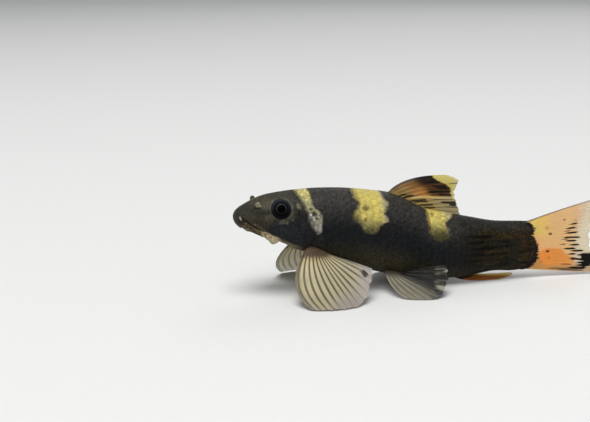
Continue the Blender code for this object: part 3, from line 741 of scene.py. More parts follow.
def head_colours(paint, at):
    """Olive above, blue-black cheeks, a pale ring round the eye with a painted highlight on its lit side, and
    flecks.
    """
    along, up, fine, ragged = at.along, at.up, at.fine, at.ragged
    cheek_front = (along - (10.3 + (up - 14.6) * 0.9)).rises(-4.6, -3.0)
    dark_cheek = cheek_front * (up + ragged.swing(1.6)).rises(15.8, 15.0)
    behind_eye = (along + ragged.swing(2.0)).rises(10.7, 12.0) * up.rises(18.4, 17.0)
    stripe = (up - 16.85 + (along - 5.5) * 0.10).near(0.0, 0.8)
    stripe = stripe * along.rises(1.8, 3.4) * along.rises(7.2, 6.3)
    lower_snout = up.rises(16.2, 14.9) * along.rises(7.0, 4.5)
    eye_x, eye_y = along - 8.62, up - 17.42
    eye_gap = (eye_x * eye_x + eye_y * eye_y).root()
    eye_side = at.out.rises(2.2, 3.2)
    # lit: where the eye's raised rim faces the lamps. The pale ring is strongest there, as a painted
    # highlight over its own pale colour.
    lit = (eye_x * 0.75 + eye_y * 0.65).rises(-1.9, 1.5)
    lit = lit + (eye_y * 0.8 - eye_x * 0.7).rises(1.1, 2.1) * 0.7
    pale_rim_and_highlight = eye_gap.near(2.10, 0.30) * eye_side * (0.10 + lit * 0.85) * (0.35 + fine * 0.9)
    upper_side = up.rises(15.6, 17.4) * along.rises(13.0, 9.5) * along.rises(3.0, 6.5)
    before_eye = round_spot(along, up, (6.15, 16.0), 0.8, 1.9) * eye_side
    above_nose = round_spot(along, up, (5.2, 18.5), 1.3, 2.2)
    under_eye = round_spot(along, up, (8.9, 15.12), 0.52, 2.3, fine.swing(0.8)) * eye_side
    white_speck = round_spot(along, up, (10.65, 15.5), 0.13) * eye_side
    clouds = paint.noise(at.where, 1.9, 3.0, 0.62)
    flecks = paint.noise(at.where, 4.2, 2.0, 0.7).rises(0.56, 0.70)
    red = flecks * up.rises(15.4, 14.6) * along.rises(6.8, 5.4)
    return paint.layers(
        HEAD_OLIVE,
        (clouds.rises(0.42, 0.60) * 0.60, HEAD_DARK),
        (lower_snout * 0.55, SNOUT_DARK),
        (upper_side * 0.35, HEAD_LIGHT),
        (behind_eye * 0.9, GILL_BLACK),
        (dark_cheek, CHEEK_BLACK),
        (stripe * 0.7 * (0.6 + fine * 0.6), STRIPE_BLACK),
        (above_nose * 0.40, NOSE_OLIVE),
        (before_eye * 0.55, EYE_FRONT),
        (pale_rim_and_highlight.least(1.0) * 0.8, EYE_RIM_PALE_AND_HIGHLIGHT),
        (under_eye * (0.45 + ragged.rises(0.38, 0.62) * 0.5), EYE_UNDERLINE),
        (flecks * 0.32, FLECK_OLIVE),
        (red * 0.6, FLECK_RED),
        (white_speck * 0.6, SPECK_BLUE),
    )


def stem_colours(paint, at, colour):
    """The dark tail stem: brown streaks along it, a smooth patch, and a rusty hind end."""
    along, up, ragged, depth = at.along, at.up, at.ragged, at.depth
    stem = along.rises(42.0, 50.0)
    long_place = paint.vector(along * 0.13, at.side * 0.3, up * 0.74)
    rows = (up * 4.9 + ragged.swing(2.6)).sine()
    streaks = paint.noise(long_place, 1.0, 2.0, 0.5) * 0.64 + 0.18 + rows * 0.055
    fibres = paint.noise(paint.vector(along * 0.30, at.side * 0.6, up * 3.4), 1.0, 2.0, 0.5)
    patch_rim = ragged.swing(4.2) + streaks.swing(3.0)
    patch = (along + patch_rim).near(56.6, 1.7).rises(0.1, 0.5) * up.rises(2.6, 3.8) * up.rises(9.2, 8.2)
    amber = (ragged * 0.5 + at.fine * 0.5).rises(0.44, 0.58)
    streaked = streaks.rises(0.47, 0.58) * depth.rises(1.2, 2.6) * up.rises(2.0, 3.4)
    streaked = streaked * along.rises(47.0, 51.5) * (0.35 + amber * 0.65)
    streaked = streaked * (0.35 + fibres.rises(0.38, 0.62) * 0.65) * (1.0 - patch)
    rust = along.rises(57.6, 58.8) * (ragged * 0.5 + fibres * 0.5).rises(0.42, 0.58)
    return paint.layers(
        colour,
        (stem * 0.8, STEM_OLIVE),
        (stem * streaked * 0.85, STEM_BROWN),
        (stem * streaks.rises(0.47, 0.40) * 0.9, STEM_BLACK),
        (stem * patch * 0.9, STEM_SMOOTH),
        (rust * 0.75, STEM_RUST),
        (stem * depth.rises(2.8, 0.8) * 0.75, STEM_TOP),
    )


def pale_bar(at, bar):
    """The mask of one pale bar between its two edges."""
    left, right, ragged, left_softness, right_softness, low_end = bar
    span = (25.0, 60.0)
    after = at.along - at.up.through(left, span) + at.wobble * ragged
    before = at.up.through(right, span) - at.along + at.wobble * ragged
    sides = after.rises(-left_softness, left_softness) * before.rises(-right_softness, right_softness)
    return sides * at.up.rises(*low_end)


def first_bar_colour(paint, at):
    """Cream, bright at its top, and a blotched grey below."""
    bright_top = (at.up + at.ragged.swing(2.0)).rises(18.0, 20.0)
    lower = (at.up + at.fine.swing(0.8)).rises(17.1, 16.2)
    colour = paint.layers(
        BAR_CREAM,
        (bright_top, BAR_BRIGHT),
        (lower, BAR_GREY),
        (lower * at.ragged.rises(0.40, 0.60) * at.up.rises(13.4, 14.8) * 0.5, BAR_DULL),
    )
    return paint.scaled(colour, (0.95 + at.blots.swing(lower * 2.2 + 1.4) + at.fine.swing(0.5)).most(0.22))


def second_bar_colour(paint, at):
    """Yellow, dull where it frays downwards, with a brown front rim and a grey hind rim."""
    frayed = (at.wobble * 0.55 + at.depth.rises(2.6, 7.4) * 1.6).rises(0.45, 1.35)
    hind_rim = (at.along + at.wobble * 0.4 - 26.2).rises(1.7, 3.2)
    front_rim = (26.3 - at.along + at.wobble * 0.3).rises(1.6, 3.0)
    colour = paint.layers(
        BAR_YELLOW,
        (frayed * 0.85, BAR_DULL),
        (hind_rim * 0.65, BAR_GREY),
        (front_rim * 0.7, BAR_BROWN),
        (at.grain.rises(0.50, 0.66) * at.depth.rises(1.0, 5.0) * 0.14, BAR_SHADE),
    )
    return paint.scaled(colour, 0.68 + paint.noise(at.where, 2.4, 3.0, 0.6) * 0.62)


def third_bar_colour(paint, at):
    """Yellow at the top, dull and darker below, with a grey hind rim."""
    lower = (at.up + at.ragged.swing(2.0)).rises(12.8, 10.4)
    colour = paint.layers(
        BAR_YELLOW,
        (at.depth.rises(1.0, 3.8) * 0.9, BAR_DULL),
        ((at.along + at.wobble * 0.4).rises(41.6, 42.8) * 0.6, BAR_GREY),
    )
    return paint.scaled(colour, (0.95 + at.blots.swing(1.4)) * (1.0 - lower * 0.74))


def bar_colours(paint, at, colour):
    """The three pale bars with their blotches. Gives the colour, and where the dark mottling is weaker."""
    along, up, fine, wobble = at.along, at.up, at.fine, at.wobble
    first, second, third = (pale_bar(at, bar) for bar in BARS)
    marks = spots_on(along, up, FIRST_BAR_MARKS, fine.swing(0.5))
    speck = round_spot(along, up, (14.15, 16.33), 0.30) * at.out.rises(3.0, 4.0)
    before_first = round_spot(along, up, (12.0, 17.95), 0.62, 1.0, fine.swing(0.9))
    below_first = along.near(15.9, 1.2) * up.near(11.6, 1.7) * at.out.rises(3.0, 4.2)
    holes = paint.noise(at.where, 1.0, 3.0, 0.7).rises(0.60, 0.70) * at.depth.rises(1.6, 3.4)
    blotch = round_spot(along, up, (25.1, 17.05), 0.70, 1.5, fine.swing(0.7))
    blotch = blotch + round_spot(along, up, (24.9, 14.9), 0.60, 0.8, fine.swing(0.6)) * 0.85
    faded = (24.7 - along + wobble * 0.45).rises(0.2, 1.3) * (16.2 - up + wobble * 0.3).rises(0.1, 1.5)
    faded = faded * 0.85 + (14.9 - up + at.blots.swing(3.2)).rises(0.4, 2.6) * 0.72
    third_blotch = round_spot(along, up, (39.3, 14.6), 0.50, 1.0, fine.swing(0.6))
    third_rim = along.near(38.35, 0.40) * up.rises(11.0, 12.4)
    colour = paint.layers(
        colour,
        (before_first * at.ragged.rises(0.36, 0.62) * 0.5, BAR_CREAM),
        (first * (1.0 - marks * 0.88), first_bar_colour(paint, at)),
        (speck * 0.9, SPECK_WHITE),
        (below_first * at.ragged.rises(0.45, 0.65) * 0.12, BAR_GREY),
        (second * (1.0 - holes * 0.6) * (1.0 - faded.least(0.9)), second_bar_colour(paint, at)),
        (blotch.least(1.0) * second * 0.75, BAR_BLOTCH),
        (third * (1.0 - holes * 0.45), third_bar_colour(paint, at)),
        (third_blotch * third * 0.65, BAR_OCHRE),
        (third_rim * 0.55, BAR_RUST),
    )
    return colour, 1.0 - (first * 0.3 + second * 0.65 + third * 0.55)


def mouth_colours(paint, at, colour):
    """The lips under the painted shade in their groove, the pale throat, and the pale middle of the belly."""
    along, up, fine, ragged = at.along, at.up, at.fine, at.ragged
    span = (10.0, 20.0)
    throat_top = (15.69 - along * 0.455).least(13.25) + fine.swing(0.5)
    throat = (throat_top - up).rises(-0.25, 0.35) * along.rises(4.5, 5.7) * along.rises(14.5, 11.0)
    throat_colour = paint.mix(along.rises(7.2, 9.0), THROAT_TAN, THROAT_DARK)
    # A dark line of painted shade in the snout's recessed groove, above the lips.
    groove = (up - along.through(GROOVE_LINE, span)).near(0.0, 0.45).rises(0.1, 0.7)
    groove = groove * along.rises(0.9, 1.5) * along.rises(5.6, 3.6)
    lips = (along.through(LIP_EDGE, span) + fine.swing(1.2) - up).rises(-0.25, 0.40) * along.rises(7.0, 5.2)
    belly = at.out.rises(3.4, 1.6) * (up - (9.6 - along * 0.235)).rises(0.9, -0.3)
    belly = belly * along.rises(9.0, 12.0) * along.rises(40.0, 33.0) * up.rises(9.0, 8.0)
    return paint.layers(
        colour,
        (belly * (0.25 + ragged * 0.3), BELLY_PALE),
        (lips * 0.85, paint.mix(fine.rises(0.38, 0.58), LIP_DARK, LIP_BROWN)),
        (groove * 0.8, PAINTED_GROOVE_SHADE),
        (throat * 0.92, paint.scaled(throat_colour, 0.72 + ragged * 0.56)),
    )


def fish_colours(paint):
    """The markings of the skin, shared by the skin and the scales on it."""
    at = skin_values(paint)
    colour = paint.layers(
        BACK_BROWN, (at.depth.rises(1.2, 7.5), SIDE_BLACK), (at.depth.rises(8.5, 14.0), BELLY_BLACK)
    )
    colour = paint.mix(at.along.rises(16.5, 11.0), colour, head_colours(paint, at))
    colour = stem_colours(paint, at, colour)
    colour, calm = bar_colours(paint, at, colour)
    colour = mouth_colours(paint, at, colour)
    speckle = paint.noise(at.where, 1.9, 3.0, 0.7)
    mottled = (1.0 + (speckle.swing(3.0) + at.grain.swing(1.6)) * calm).most(0.2)
    colour = paint.scaled(colour, (0.66 + at.broad * 0.46) * mottled)
    behind_stem = tail_colours(paint, at.along, at.up, at.fine, at.ragged.swing(1.2))
    return at, paint.mix(stem_end(paint, at.along, at.up), behind_stem, colour)


def skin_finish():
    paint = Paint("garra_skin", Specular_IOR_Level=0.06)
    at, colour = fish_colours(paint)
    height = at.fine * 0.6 + at.grain * 0.35 + paint.cells(at.where, 3.4) * 0.35
    return paint.set(
        Base_Color=colour, Roughness=0.36 + at.grain * 0.22, Normal=paint.bump(height, 0.00006, 0.6)
    )


def scale_finish():
    paint = Paint("garra_scale", Specular_IOR_Level=0.08)
    at, colour = fish_colours(paint)
    reach = paint.stored("scale_reach")
    rim, heart = reach.rises(0.62, 0.97), reach.rises(0.55, 0.10)
    rings = (reach * 34.0).sine() * 0.5 + 0.5
    height = rings * 0.25 + at.fine * 0.4
    return paint.set(
        Base_Color=paint.scaled(colour, 1.0 + heart * 0.20 - rim * 0.20),
        Roughness=0.33 + at.grain * 0.22, Normal=paint.bump(height, 0.00003, 0.5),
    )


def line_gap(points, line):
    """How far each point of the skin is from a line drawn on it, on either side of the body."""
    corners = np.array([skin_point(distance, degrees) for distance, degrees in line])
    folded_points = points.copy()
    folded_points[..., 1] = np.abs(folded_points[..., 1])
    gap = np.full(points.shape[:-1], 1e3)
    for a, b in zip(corners[:-1], corners[1:]):
        way = b - a
        share = np.clip(((folded_points - a) @ way) / (way @ way), 0, 1)
        gap = np.minimum(gap, np.linalg.norm(folded_points - a - share[..., None] * way, axis=-1))
    return gap


def bell(x, width):
    return np.exp(-((x / width) ** 2))


def gill_relief(along, up, degrees, turn):
    """The raised gill cover with the cleft behind it, and the crease of the cheek."""
    behind_gill = along - gill_line(degrees)
    flank = smooth_step((turn - 35) / 30) * smooth_step((172 - turn) / 25)
    cover = smooth_step(1 + behind_gill / GILL_COVER_LENGTH) * (behind_gill <= 0)
    rim = smooth_step(-behind_gill / GILL_RIM_WIDTH)
    cleft = np.where(behind_gill > 0, smooth_step(1 - behind_gill / 1.3), 1 - rim)
    centre, bow, height, reach = CHEEK_LINE
    cheek = along - centre - bow * (1 - ((up - height) / reach) ** 2)
    crease = 0.09 * bell(cheek, 0.22) * smooth_step(1 - np.abs(up - height) / 4.2)
    return (GILL_COVER_RAISE * cover * rim - GILL_CLEFT_DEPTH * cleft) * flank - crease


def mouth_relief(points, turn):
    """The snout's groove, the mouth's slit and lip, and the sucking disc behind them with its hollow."""
    along, side = points[..., 0], points[..., 1]
    relief = 0.0
    for line, height, width in MOUTH_LINES:
        relief = relief + height * bell(line_gap(points, line), width) * (along < 9.0)
    disc = np.hypot((along - DISC_DISTANCE) / DISC_RADII[0], side / DISC_RADII[1])
    rear = smooth_step((along - DISC_DISTANCE) / 1.5)
    rim = 0.14 * bell(disc - 1.0, 0.13) + 0.36 * rear * bell(disc - 0.98, 0.24)
    rim = rim - 0.06 * bell(disc - 0.78, 0.10) + 0.12 * smooth_step((0.66 - disc) / 0.25)
    hollow = smooth_step((along - 7.95) / 0.35) * smooth_step((12.5 - along) / 3.5)
    return relief + rim * smooth_step((turn - 110) / 15) - 0.72 * hollow * smooth_step((turn - 128) / 25)


def eye_relief(points, side):
    """The rim and the socket of an eye, and the two openings of the nostril before it."""
    centre, axes = eye_place(side)
    away = points - centre
    out = away @ axes[2]
    ring = np.linalg.norm(away - out[..., None] * axes[2], axis=-1)
    rim = 0.13 * bell(ring - (EYE_RADIUS + 0.17), 0.16)
    relief = (rim - 1.1 * smooth_step((EYE_RADIUS - 0.02 - ring) / 0.22)) * (out > -1.5)
    front, hind, foot, across = nostril_places(side)
    for pit, length in ((front, 0.55), (hind, 0.15)):
        away = points - pit
        beside = np.clip(away @ across, -length, length)
        gap = np.linalg.norm(away - beside[..., None] * across, axis=-1)
        relief -= 0.45 * smooth_step((NOSTRIL_RADIUS - gap) / 0.20)
    return relief + 0.12 * bell(np.linalg.norm(points - foot, axis=-1), 0.8)


def skin_relief(points, degrees):
    """How far the skin's features raise it, in millimetres, at each of its points."""
    along, side, up = np.moveaxis(points, -1, 0)
    turn = folded(degrees)
    relief = gill_relief(along, up, degrees, turn) + mouth_relief(points, turn)
    for eye_side in SIDES:
        relief += eye_relief(points, eye_side)
    side_line = np.interp(along, *SIDE_LINE)
    return relief - 0.035 * bell(up - side_line, 0.13) * smooth_step((along - 16) / 2) * (np.abs(side) > 0.5)


def eye_place(side):
    """An eye's centre, and three unit vectors: along, across and out of the head."""
    out = np.array([
        -math.sin(EYE_TILT_FORWARD) * math.cos(EYE_TILT_UP),
        math.cos(EYE_TILT_FORWARD) * math.cos(EYE_TILT_UP),
        math.sin(EYE_TILT_UP),
    ])
    out = mirrored(out, side)
    along = unit(np.cross(out, [0, 0, 1]))
    degrees = np.linspace(5, 110, 400)
    heights = skin_point(np.full(400, EYE_DISTANCE), degrees)[:, 2]
    found = float(np.interp(-EYE_HEIGHT, -heights, degrees))
    centre = mirrored(skin_point(EYE_DISTANCE, found), side) - EYE_SUNK * out
    return centre, np.array([along, np.cross(out, along), out])


def nostril_places(side):
    """The front and hind openings of a nostril, the flap's foot between them, and the way across the flap."""
    foot = skin_point(NOSTRIL_DISTANCE, NOSTRIL_ANGLE)
    down = unit(skin_point(NOSTRIL_DISTANCE, NOSTRIL_ANGLE + 5) - foot)
    back = unit(skin_point(NOSTRIL_DISTANCE + 0.2, NOSTRIL_ANGLE) - foot)
    across = unit(down + back * NOSTRIL_SLANT)
    ahead = unit(down * NOSTRIL_SLANT - back)
    front = foot + ahead * NOSTRIL_SPACING * 0.42
    hind = foot - ahead * NOSTRIL_SPACING * 0.75
    return [mirrored(spot, side) for spot in (front, hind, foot, across)]


def surface_normals(grid):
    """Unit vectors out of a closed-round grid of points, rows along the body."""
    along = np.gradient(grid, axis=0)
    around = np.roll(grid, -1, axis=1) - np.roll(grid, 1, axis=1)
    return unit(np.cross(along, around))


def skin_stations():
    """Distances of the skin's rings: close together on the head, wider apart behind it."""
    knots = [0.0]
    while knots[-1] < KNOTS[-1]:
        distance = np.interp(knots[-1], FINE, FINE_DISTANCE)
        share = smooth_step((distance - SKIN_HEAD_LENGTH + 2) / 4)
        step = SKIN_STEP_HEAD + (SKIN_STEP_BODY - SKIN_STEP_HEAD) * share
        knots.append(knots[-1] + step * (0.5 if knots[-1] < 1.0 else 1.0))
    return np.interp(np.array(knots[1:]) * KNOTS[-1] / knots[-1], FINE, FINE_DISTANCE)


def make_skin(finish):
    distances = skin_stations()
    degrees = np.arange(SKIN_AROUND) * 360.0 / SKIN_AROUND
    grid = skin_point(distances[:, None], degrees[None, :])
    relief = skin_relief(grid, np.broadcast_to(degrees, grid.shape[:2]))
    grid = grid + surface_normals(grid) * relief[..., None]
    taper = np.sin(np.linspace(0.0, HALF_TURN / 2, 10)[1:])[:, None]
    last = grid[-1]
    middle = last[:, 2].mean()
    end_rings = np.stack([
        last[:, 0] + taper * SKIN_TAPER * (1 - 0.75 * ((last[:, 2] - middle) / 5.0) ** 2),
        last[:, 1] * (1 - 0.44 * taper**2 - 0.4 * np.maximum(taper - 0.98, 0) / 0.02),
        middle + (last[:, 2] - middle) * (1 - 0.06 * taper**2),
    ], axis=-1)
    grid = np.concatenate([grid, end_rings])
    points = np.vstack([[[0.0, 0.0, STATIONS[0][1]]], grid.reshape(-1, 3), [grid[-1].mean(axis=0)]])
    faces = tube_faces(*grid.shape[:2], 0, len(points) - 1, 1)
    return piece("skin", points, faces, [finish])


class Shaping:
    """A Geometry Nodes tree, one method that adds a node to it, and one that runs it on an object."""

    def __init__(self, name, **inputs):
        self.tree = bpy.data.node_groups.new(name, "GeometryNodeTree")
        sockets = self.tree.interface
        for way in ("INPUT", "OUTPUT"):
            sockets.new_socket("Geometry", in_out=way, socket_type="NodeSocketGeometry")
        for socket, kind in inputs.items():
            sockets.new_socket(socket, in_out="INPUT", socket_type=kind)
        self.start = self.tree.nodes.new("NodeGroupInput")
        self.end = self.tree.nodes.new("NodeGroupOutput")

    def given(self, name):
        return self.start.outputs[name]

    def link(self, source, socket):
        if isinstance(source, bpy.types.NodeSocket):
            self.tree.links.new(source, socket)
        else:
            socket.default_value = source

    def node(self, kind, settings, sockets, output=0):
        return add_node(self.tree, kind, settings, sockets, self.link).outputs[output]

    def named(self, name, kind):
        return self.node("GeometryNodeInputNamedAttribute", {"data_type": kind}, {"Name": name})

    def finish(self, geometry, material):
        real = self.node("GeometryNodeRealizeInstances", {}, {"Geometry": geometry})
        dressed = self.node("GeometryNodeSetMaterial", {}, {"Geometry": real, "Material": material})
        self.link(dressed, self.end.inputs[0])

    def apply(self, made, **values):
        """Runs the tree on an object with the given inputs, and leaves a plain mesh in its place."""
        change = made.modifiers.new(self.tree.name, "NODES")
        change.node_group = self.tree
        for item in self.tree.interface.items_tree:
            if item.in_out == "INPUT" and item.name in values:
                change[item.identifier] = values[item.name]
        bpy.context.view_layer.update()
        graph = bpy.context.evaluated_depsgraph_get()
        mesh = bpy.data.meshes.new_from_object(made.evaluated_get(graph))
        made.modifiers.clear()
        made.data = mesh
        mesh.shade_smooth()
        mesh.materials.clear()
        mesh.materials.append(values["Finish"])


def scale_plate():
    """One scale, a unit wide and long, with its hind edge round. Its points know how far back they lie."""
    rows, columns = 5, 5
    points, reach = [], []
    for back in np.linspace(0.0, 1.0, rows):
        half = 0.5 * math.sqrt(max(1 - (max(back - 0.45, 0) / 0.62) ** 2, 0.0))
        for across in np.linspace(-1.0, 1.0, columns):
            hem = back * (1 - 0.10 * across**2)
            height = hem**1.5 * (1 - 0.25 * across**2) - 0.35 * (1 - hem) ** 2
            points.append((hem - 0.5, across * half, height))
            reach.append(max(hem, abs(across) * 0.9))
    index = np.arange(rows * columns).reshape(rows, columns)
    faces = quads(index)
    border = border_of(index.T)
    below = {v: len(points) + i for i, v in enumerate(border)}
    for v in border:
        points.append((points[v][0] * 0.93, points[v][1] * 0.93, -1.2))
        reach.append(reach[v])
    pairs = list(zip(border, border[1:] + border[:1]))
    faces.extend((v, w, below[w], below[v]) for v, w in pairs)
    faces.append(tuple(below[v] for v in reversed(border)))

    mesh = bpy.data.meshes.new("scale_plate")
    mesh.from_pydata(points, [], faces)
    rim = {frozenset(pair) for pair in pairs}
    for edge in mesh.edges:
        edge.use_edge_sharp = frozenset(edge.vertices) in rim
    plate = add_object("scale_plate", mesh)
    point_values(plate, "scale_reach", reach)
    point_values(plate, "lift", [z * SCALE_RAISE * MM for _, _, z in points])
    point_values(plate, "patch", [(x, y, 0.0) for x, y, _ in points])
    return plate


def scale_lattice():
    """Where each scale sits: rings of scales, each ring turned by half a scale."""
    rows = []
    distance, ring = SCALE_START, 0
    while distance < SCALE_LAST:
        share = smooth_step((distance - 30) / 25)
        step = SCALE_STEP_BODY + (SCALE_STEP_TAIL - SCALE_STEP_BODY) * share
        turns = (np.arange(SCALE_ROWS_AROUND) + 0.5 * (ring % 2)) * 360.0 / SCALE_ROWS_AROUND
        for degrees in turns:
            if distance > gill_line(degrees) + SCALE_FIRST:
                rows.append((distance, degrees, step))
        distance += step
        ring += 1
    return np.array(rows).T


def scale_spots(finish):
    """One point for each scale. It knows the way back along the skin, the way out, and the scale's size."""
    distance, degrees, step = scale_lattice()
    rng = np.random.default_rng(7)
    spots = skin_point(distance, degrees)
    back = unit(skin_point(distance + 0.05, degrees) - spots)
    out = unit(np.cross(back, skin_point(distance, degrees + 0.5) - spots))
    half_step = 180.0 / SCALE_ROWS_AROUND
    width = np.linalg.norm(
        skin_point(distance, degrees + half_step) - skin_point(distance, degrees - half_step), axis=1
    )
    size = np.stack([
        step * SCALE_OVERLAP * rng.uniform(0.95, 1.05, len(spots)),
        width * SCALE_WIDENING * rng.uniform(0.95, 1.05, len(spots)),
        np.full(len(spots), SCALE_RAISE),
    ], axis=1)
    round_share = (degrees % 360) / 360.0 * 0.96 + 0.02
    made = piece("scales", spots, [], [finish], False)
    point_values(made, "back", back)
    point_values(made, "out", out)
    point_values(made, "size", size * MM)
    point_values(made, "root_map", np.stack([distance / SCALE_MAP_LENGTH, round_share, 0 * distance], 1))
    return made


def make_scales(skin, finish):
    """Lays a scale plate on the skin at each spot, bent to the skin under it."""
    made = scale_spots(finish)
    plate = scale_plate()
    shaping = Shaping(
        "scale rows", Plate="NodeSocketObject", Skin="NodeSocketObject", Finish="NodeSocketMaterial"
    )
    upright = shaping.node("FunctionNodeAlignRotationToVector", {"axis": "Z"}, {
        "Vector": shaping.named("out", "FLOAT_VECTOR"),
    })
    turned = shaping.node("FunctionNodeAlignRotationToVector", {"axis": "X", "pivot_axis": "Z"}, {
        "Rotation": upright, "Vector": shaping.named("back", "FLOAT_VECTOR"),
    })
    one = shaping.node("GeometryNodeObjectInfo", {}, {"Object": shaping.given("Plate")}, "Geometry")
    dots = shaping.node("GeometryNodeMeshToPoints", {}, {"Mesh": shaping.given("Geometry")})
    many = shaping.node("GeometryNodeInstanceOnPoints", {}, {
        "Points": dots, "Instance": one, "Rotation": turned, "Scale": shaping.named("size", "FLOAT_VECTOR"),
    })
    real = shaping.node("GeometryNodeRealizeInstances", {}, {"Geometry": many})
    body = shaping.node("GeometryNodeObjectInfo", {}, {"Object": shaping.given("Skin")}, "Geometry")
    nearest = shaping.node("GeometryNodeProximity", {"target_element": "FACES"}, {"Geometry": body})
    outward = shaping.node("GeometryNodeSampleNearestSurface", {"data_type": "FLOAT_VECTOR"}, {
        "Mesh": body, "Value": shaping.node("GeometryNodeInputNormal", {}, {}),
    })
    lifted = shaping.node("ShaderNodeVectorMath", {"operation": "SCALE"}, {
        0: outward, "Scale": shaping.named("lift", "FLOAT"),
    })
    seat = shaping.node("ShaderNodeVectorMath", {"operation": "ADD"}, {0: nearest, 1: lifted})
    laid = shaping.node("GeometryNodeSetPosition", {}, {"Geometry": real, "Position": seat})
    shaping.finish(laid, shaping.given("Finish"))
    shaping.apply(made, Plate=plate, Skin=skin, Finish=finish)
    bake_map(made)
    bpy.data.objects.remove(plate)
    return made


def bake_map(made):
    """A UV map on which each scale is a small patch at its root's place on the unrolled skin."""
    mesh = made.data
    root, patch = np.zeros((2, len(mesh.vertices) * 3))
    mesh.attributes["root_map"].data.foreach_get("vector", root)
    mesh.attributes["patch"].data.foreach_get("vector", patch)
    places = root.reshape(-1, 3)[:, :2] + patch.reshape(-1, 3)[:, :2] * SCALE_MAP_PATCH
    corners = np.zeros(len(mesh.loops), int)
    mesh.loops.foreach_get("vertex_index", corners)
    mesh.uv_layers.new(name="OFBake").data.foreach_set("uv", places[corners].ravel())


def between(ends, share):
    """A number or a point part of the way from the first to the second."""
    first, second = np.asarray(ends, float)
    return first + (second - first) * share


def bend_path(root, bend, tip, t):
    t = np.asarray(t, float)[:, None]
    return (1 - t) ** 2 * root + 2 * t * (1 - t) * bend + t**2 * tip


def paired_ray(side, fin):
    """The rays of a paired fin, spread sideways from the lower flank down to the floor."""

    def ray(f):
        root = skin_point(between(fin.base, f), between(fin.base_angles, f))
        turn = math.radians(between(fin.sweep, f))
        level = float(smooth_curve((0.0, LONGEST_RAY, 1.0), fin.reach, f))
        tip = np.array([
            fin.centre[0] + level * math.sin(turn),
            fin.centre[1] + level * math.cos(turn),
            FLOOR_LIFT + fin.lift * float(smooth_step((f - fin.lift_from) / (1 - fin.lift_from))),
        ])
        bend_turn = turn - math.radians(fin.bow) * (1 - f) ** 2
        span = math.hypot(tip[0] - root[0], tip[1] - root[1]) * (0.75 - 0.25 * f)
        bend = root + span * np.array([math.sin(bend_turn), math.cos(bend_turn), 0.0])
        bend[2] = tip[2] + (root[2] - tip[2]) * (0.35 + 0.15 * f)
        return mirrored(root, side), mirrored(bend, side), mirrored(tip, side)

    return ray


def median_ray(fin):
    """The rays of an upright fin on the back or the belly."""
    knots = np.linspace(0.0, 1.0, len(fin.margin))

    def ray(f):
        distance = between(fin.base, f)
        root = np.array([distance, 0.0, section(distance)[fin.edge]])
        s, z = smooth_curve(knots, fin.margin, f)
        shift = between((fin.front_bend, fin.hind_bend), f**0.45)
        return root, root + np.array([shift[0], 0.0, shift[1]]), np.array([s, 0.0, z])

    return ray


def caudal_ray(f):
    root = np.array([BODY_END, 0.0, between(CAUDAL_ROOT_HEIGHTS, f)])
    shares, short = zip(*CAUDAL_MARGIN)
    distance = TOTAL_LENGTH - float(smooth_curve(shares, short, abs(2 * f - 1)))
    tip = np.array([distance, 0.0, between(CAUDAL_TIP_HEIGHTS, f)])
    return root, root + (tip - root) * np.array([0.45, 0.0, 0.52]), tip


class Fin:
    """A fin's own shape: where the point at a share across it and a share along its rays lies."""

    def __init__(self, name, kind, slot, ray):
        values = FINS[kind]
        self.name, self.kind, self.slot = name, kind, slot
        self.rays, self.flesh = values.rays, values.flesh
        self.notch, self.thickness = values.notch, values.thickness
        self.shares = np.linspace(0.0, 1.0, 8 * (self.rays - 1) + 1)
        self.steps = np.linspace(0.0, 1.0, 41)
        self.grid = np.array([bend_path(*ray(f), self.steps) for f in self.shares])
        self.inward = unit((self.grid[:, 0] - self.grid[:, 3]).mean(axis=0))
        across, along = np.gradient(self.grid, axis=0), np.gradient(self.grid, axis=1)
        self.normal = unit(np.cross(across, along))
        sag = values.ripple * self.web(self.shares)[:, None] * self.steps[None, :] ** 1.3
        self.grid = self.grid + self.normal * sag[..., None]

    def web(self, f):
        """1 halfway between two rays and 0 on a ray."""
        return np.sin(HALF_TURN * (f * (self.rays - 1) % 1.0)) ** 2

    def margin(self, f):
        """How far along its rays the fin reaches: a little less between rays, and slightly uneven."""
        phase = len(self.name)
        uneven = 0.008 * np.sin(f * 41.0 + phase) + 0.005 * np.sin(f * 97.0 + phase * 2)
        return 0.985 + (uneven - self.notch * self.web(f)) * smooth_step(f / 0.35)

    def at(self, values, f, t):
        """Reads a grid of values between its columns and rows."""
        columns, rows = len(self.shares) - 1, len(self.steps) - 1
        x, y = np.clip(f, 0, 1) * columns, np.clip(t, 0, 1) * rows
        i, j = np.minimum(x.astype(int), columns - 1), np.minimum(y.astype(int), rows - 1)
        u, v = (x - i)[..., None], (y - j)[..., None]
        near = values[i, j] * (1 - u) + values[i + 1, j] * u
        far = values[i, j + 1] * (1 - u) + values[i + 1, j + 1] * u
        return near * (1 - v) + far * v


def thin_sheet(name, centre, half, finish):
    """A thin sheet round a grid of points, closed round its edge and kept above the floor."""
    points = np.concatenate([(centre + half).reshape(-1, 3), (centre - half).reshape(-1, 3)])
    points[:, 2] = np.maximum(points[:, 2], 0.02)
    return piece(name, points, sheet_faces(*centre.shape[:2]), [finish])


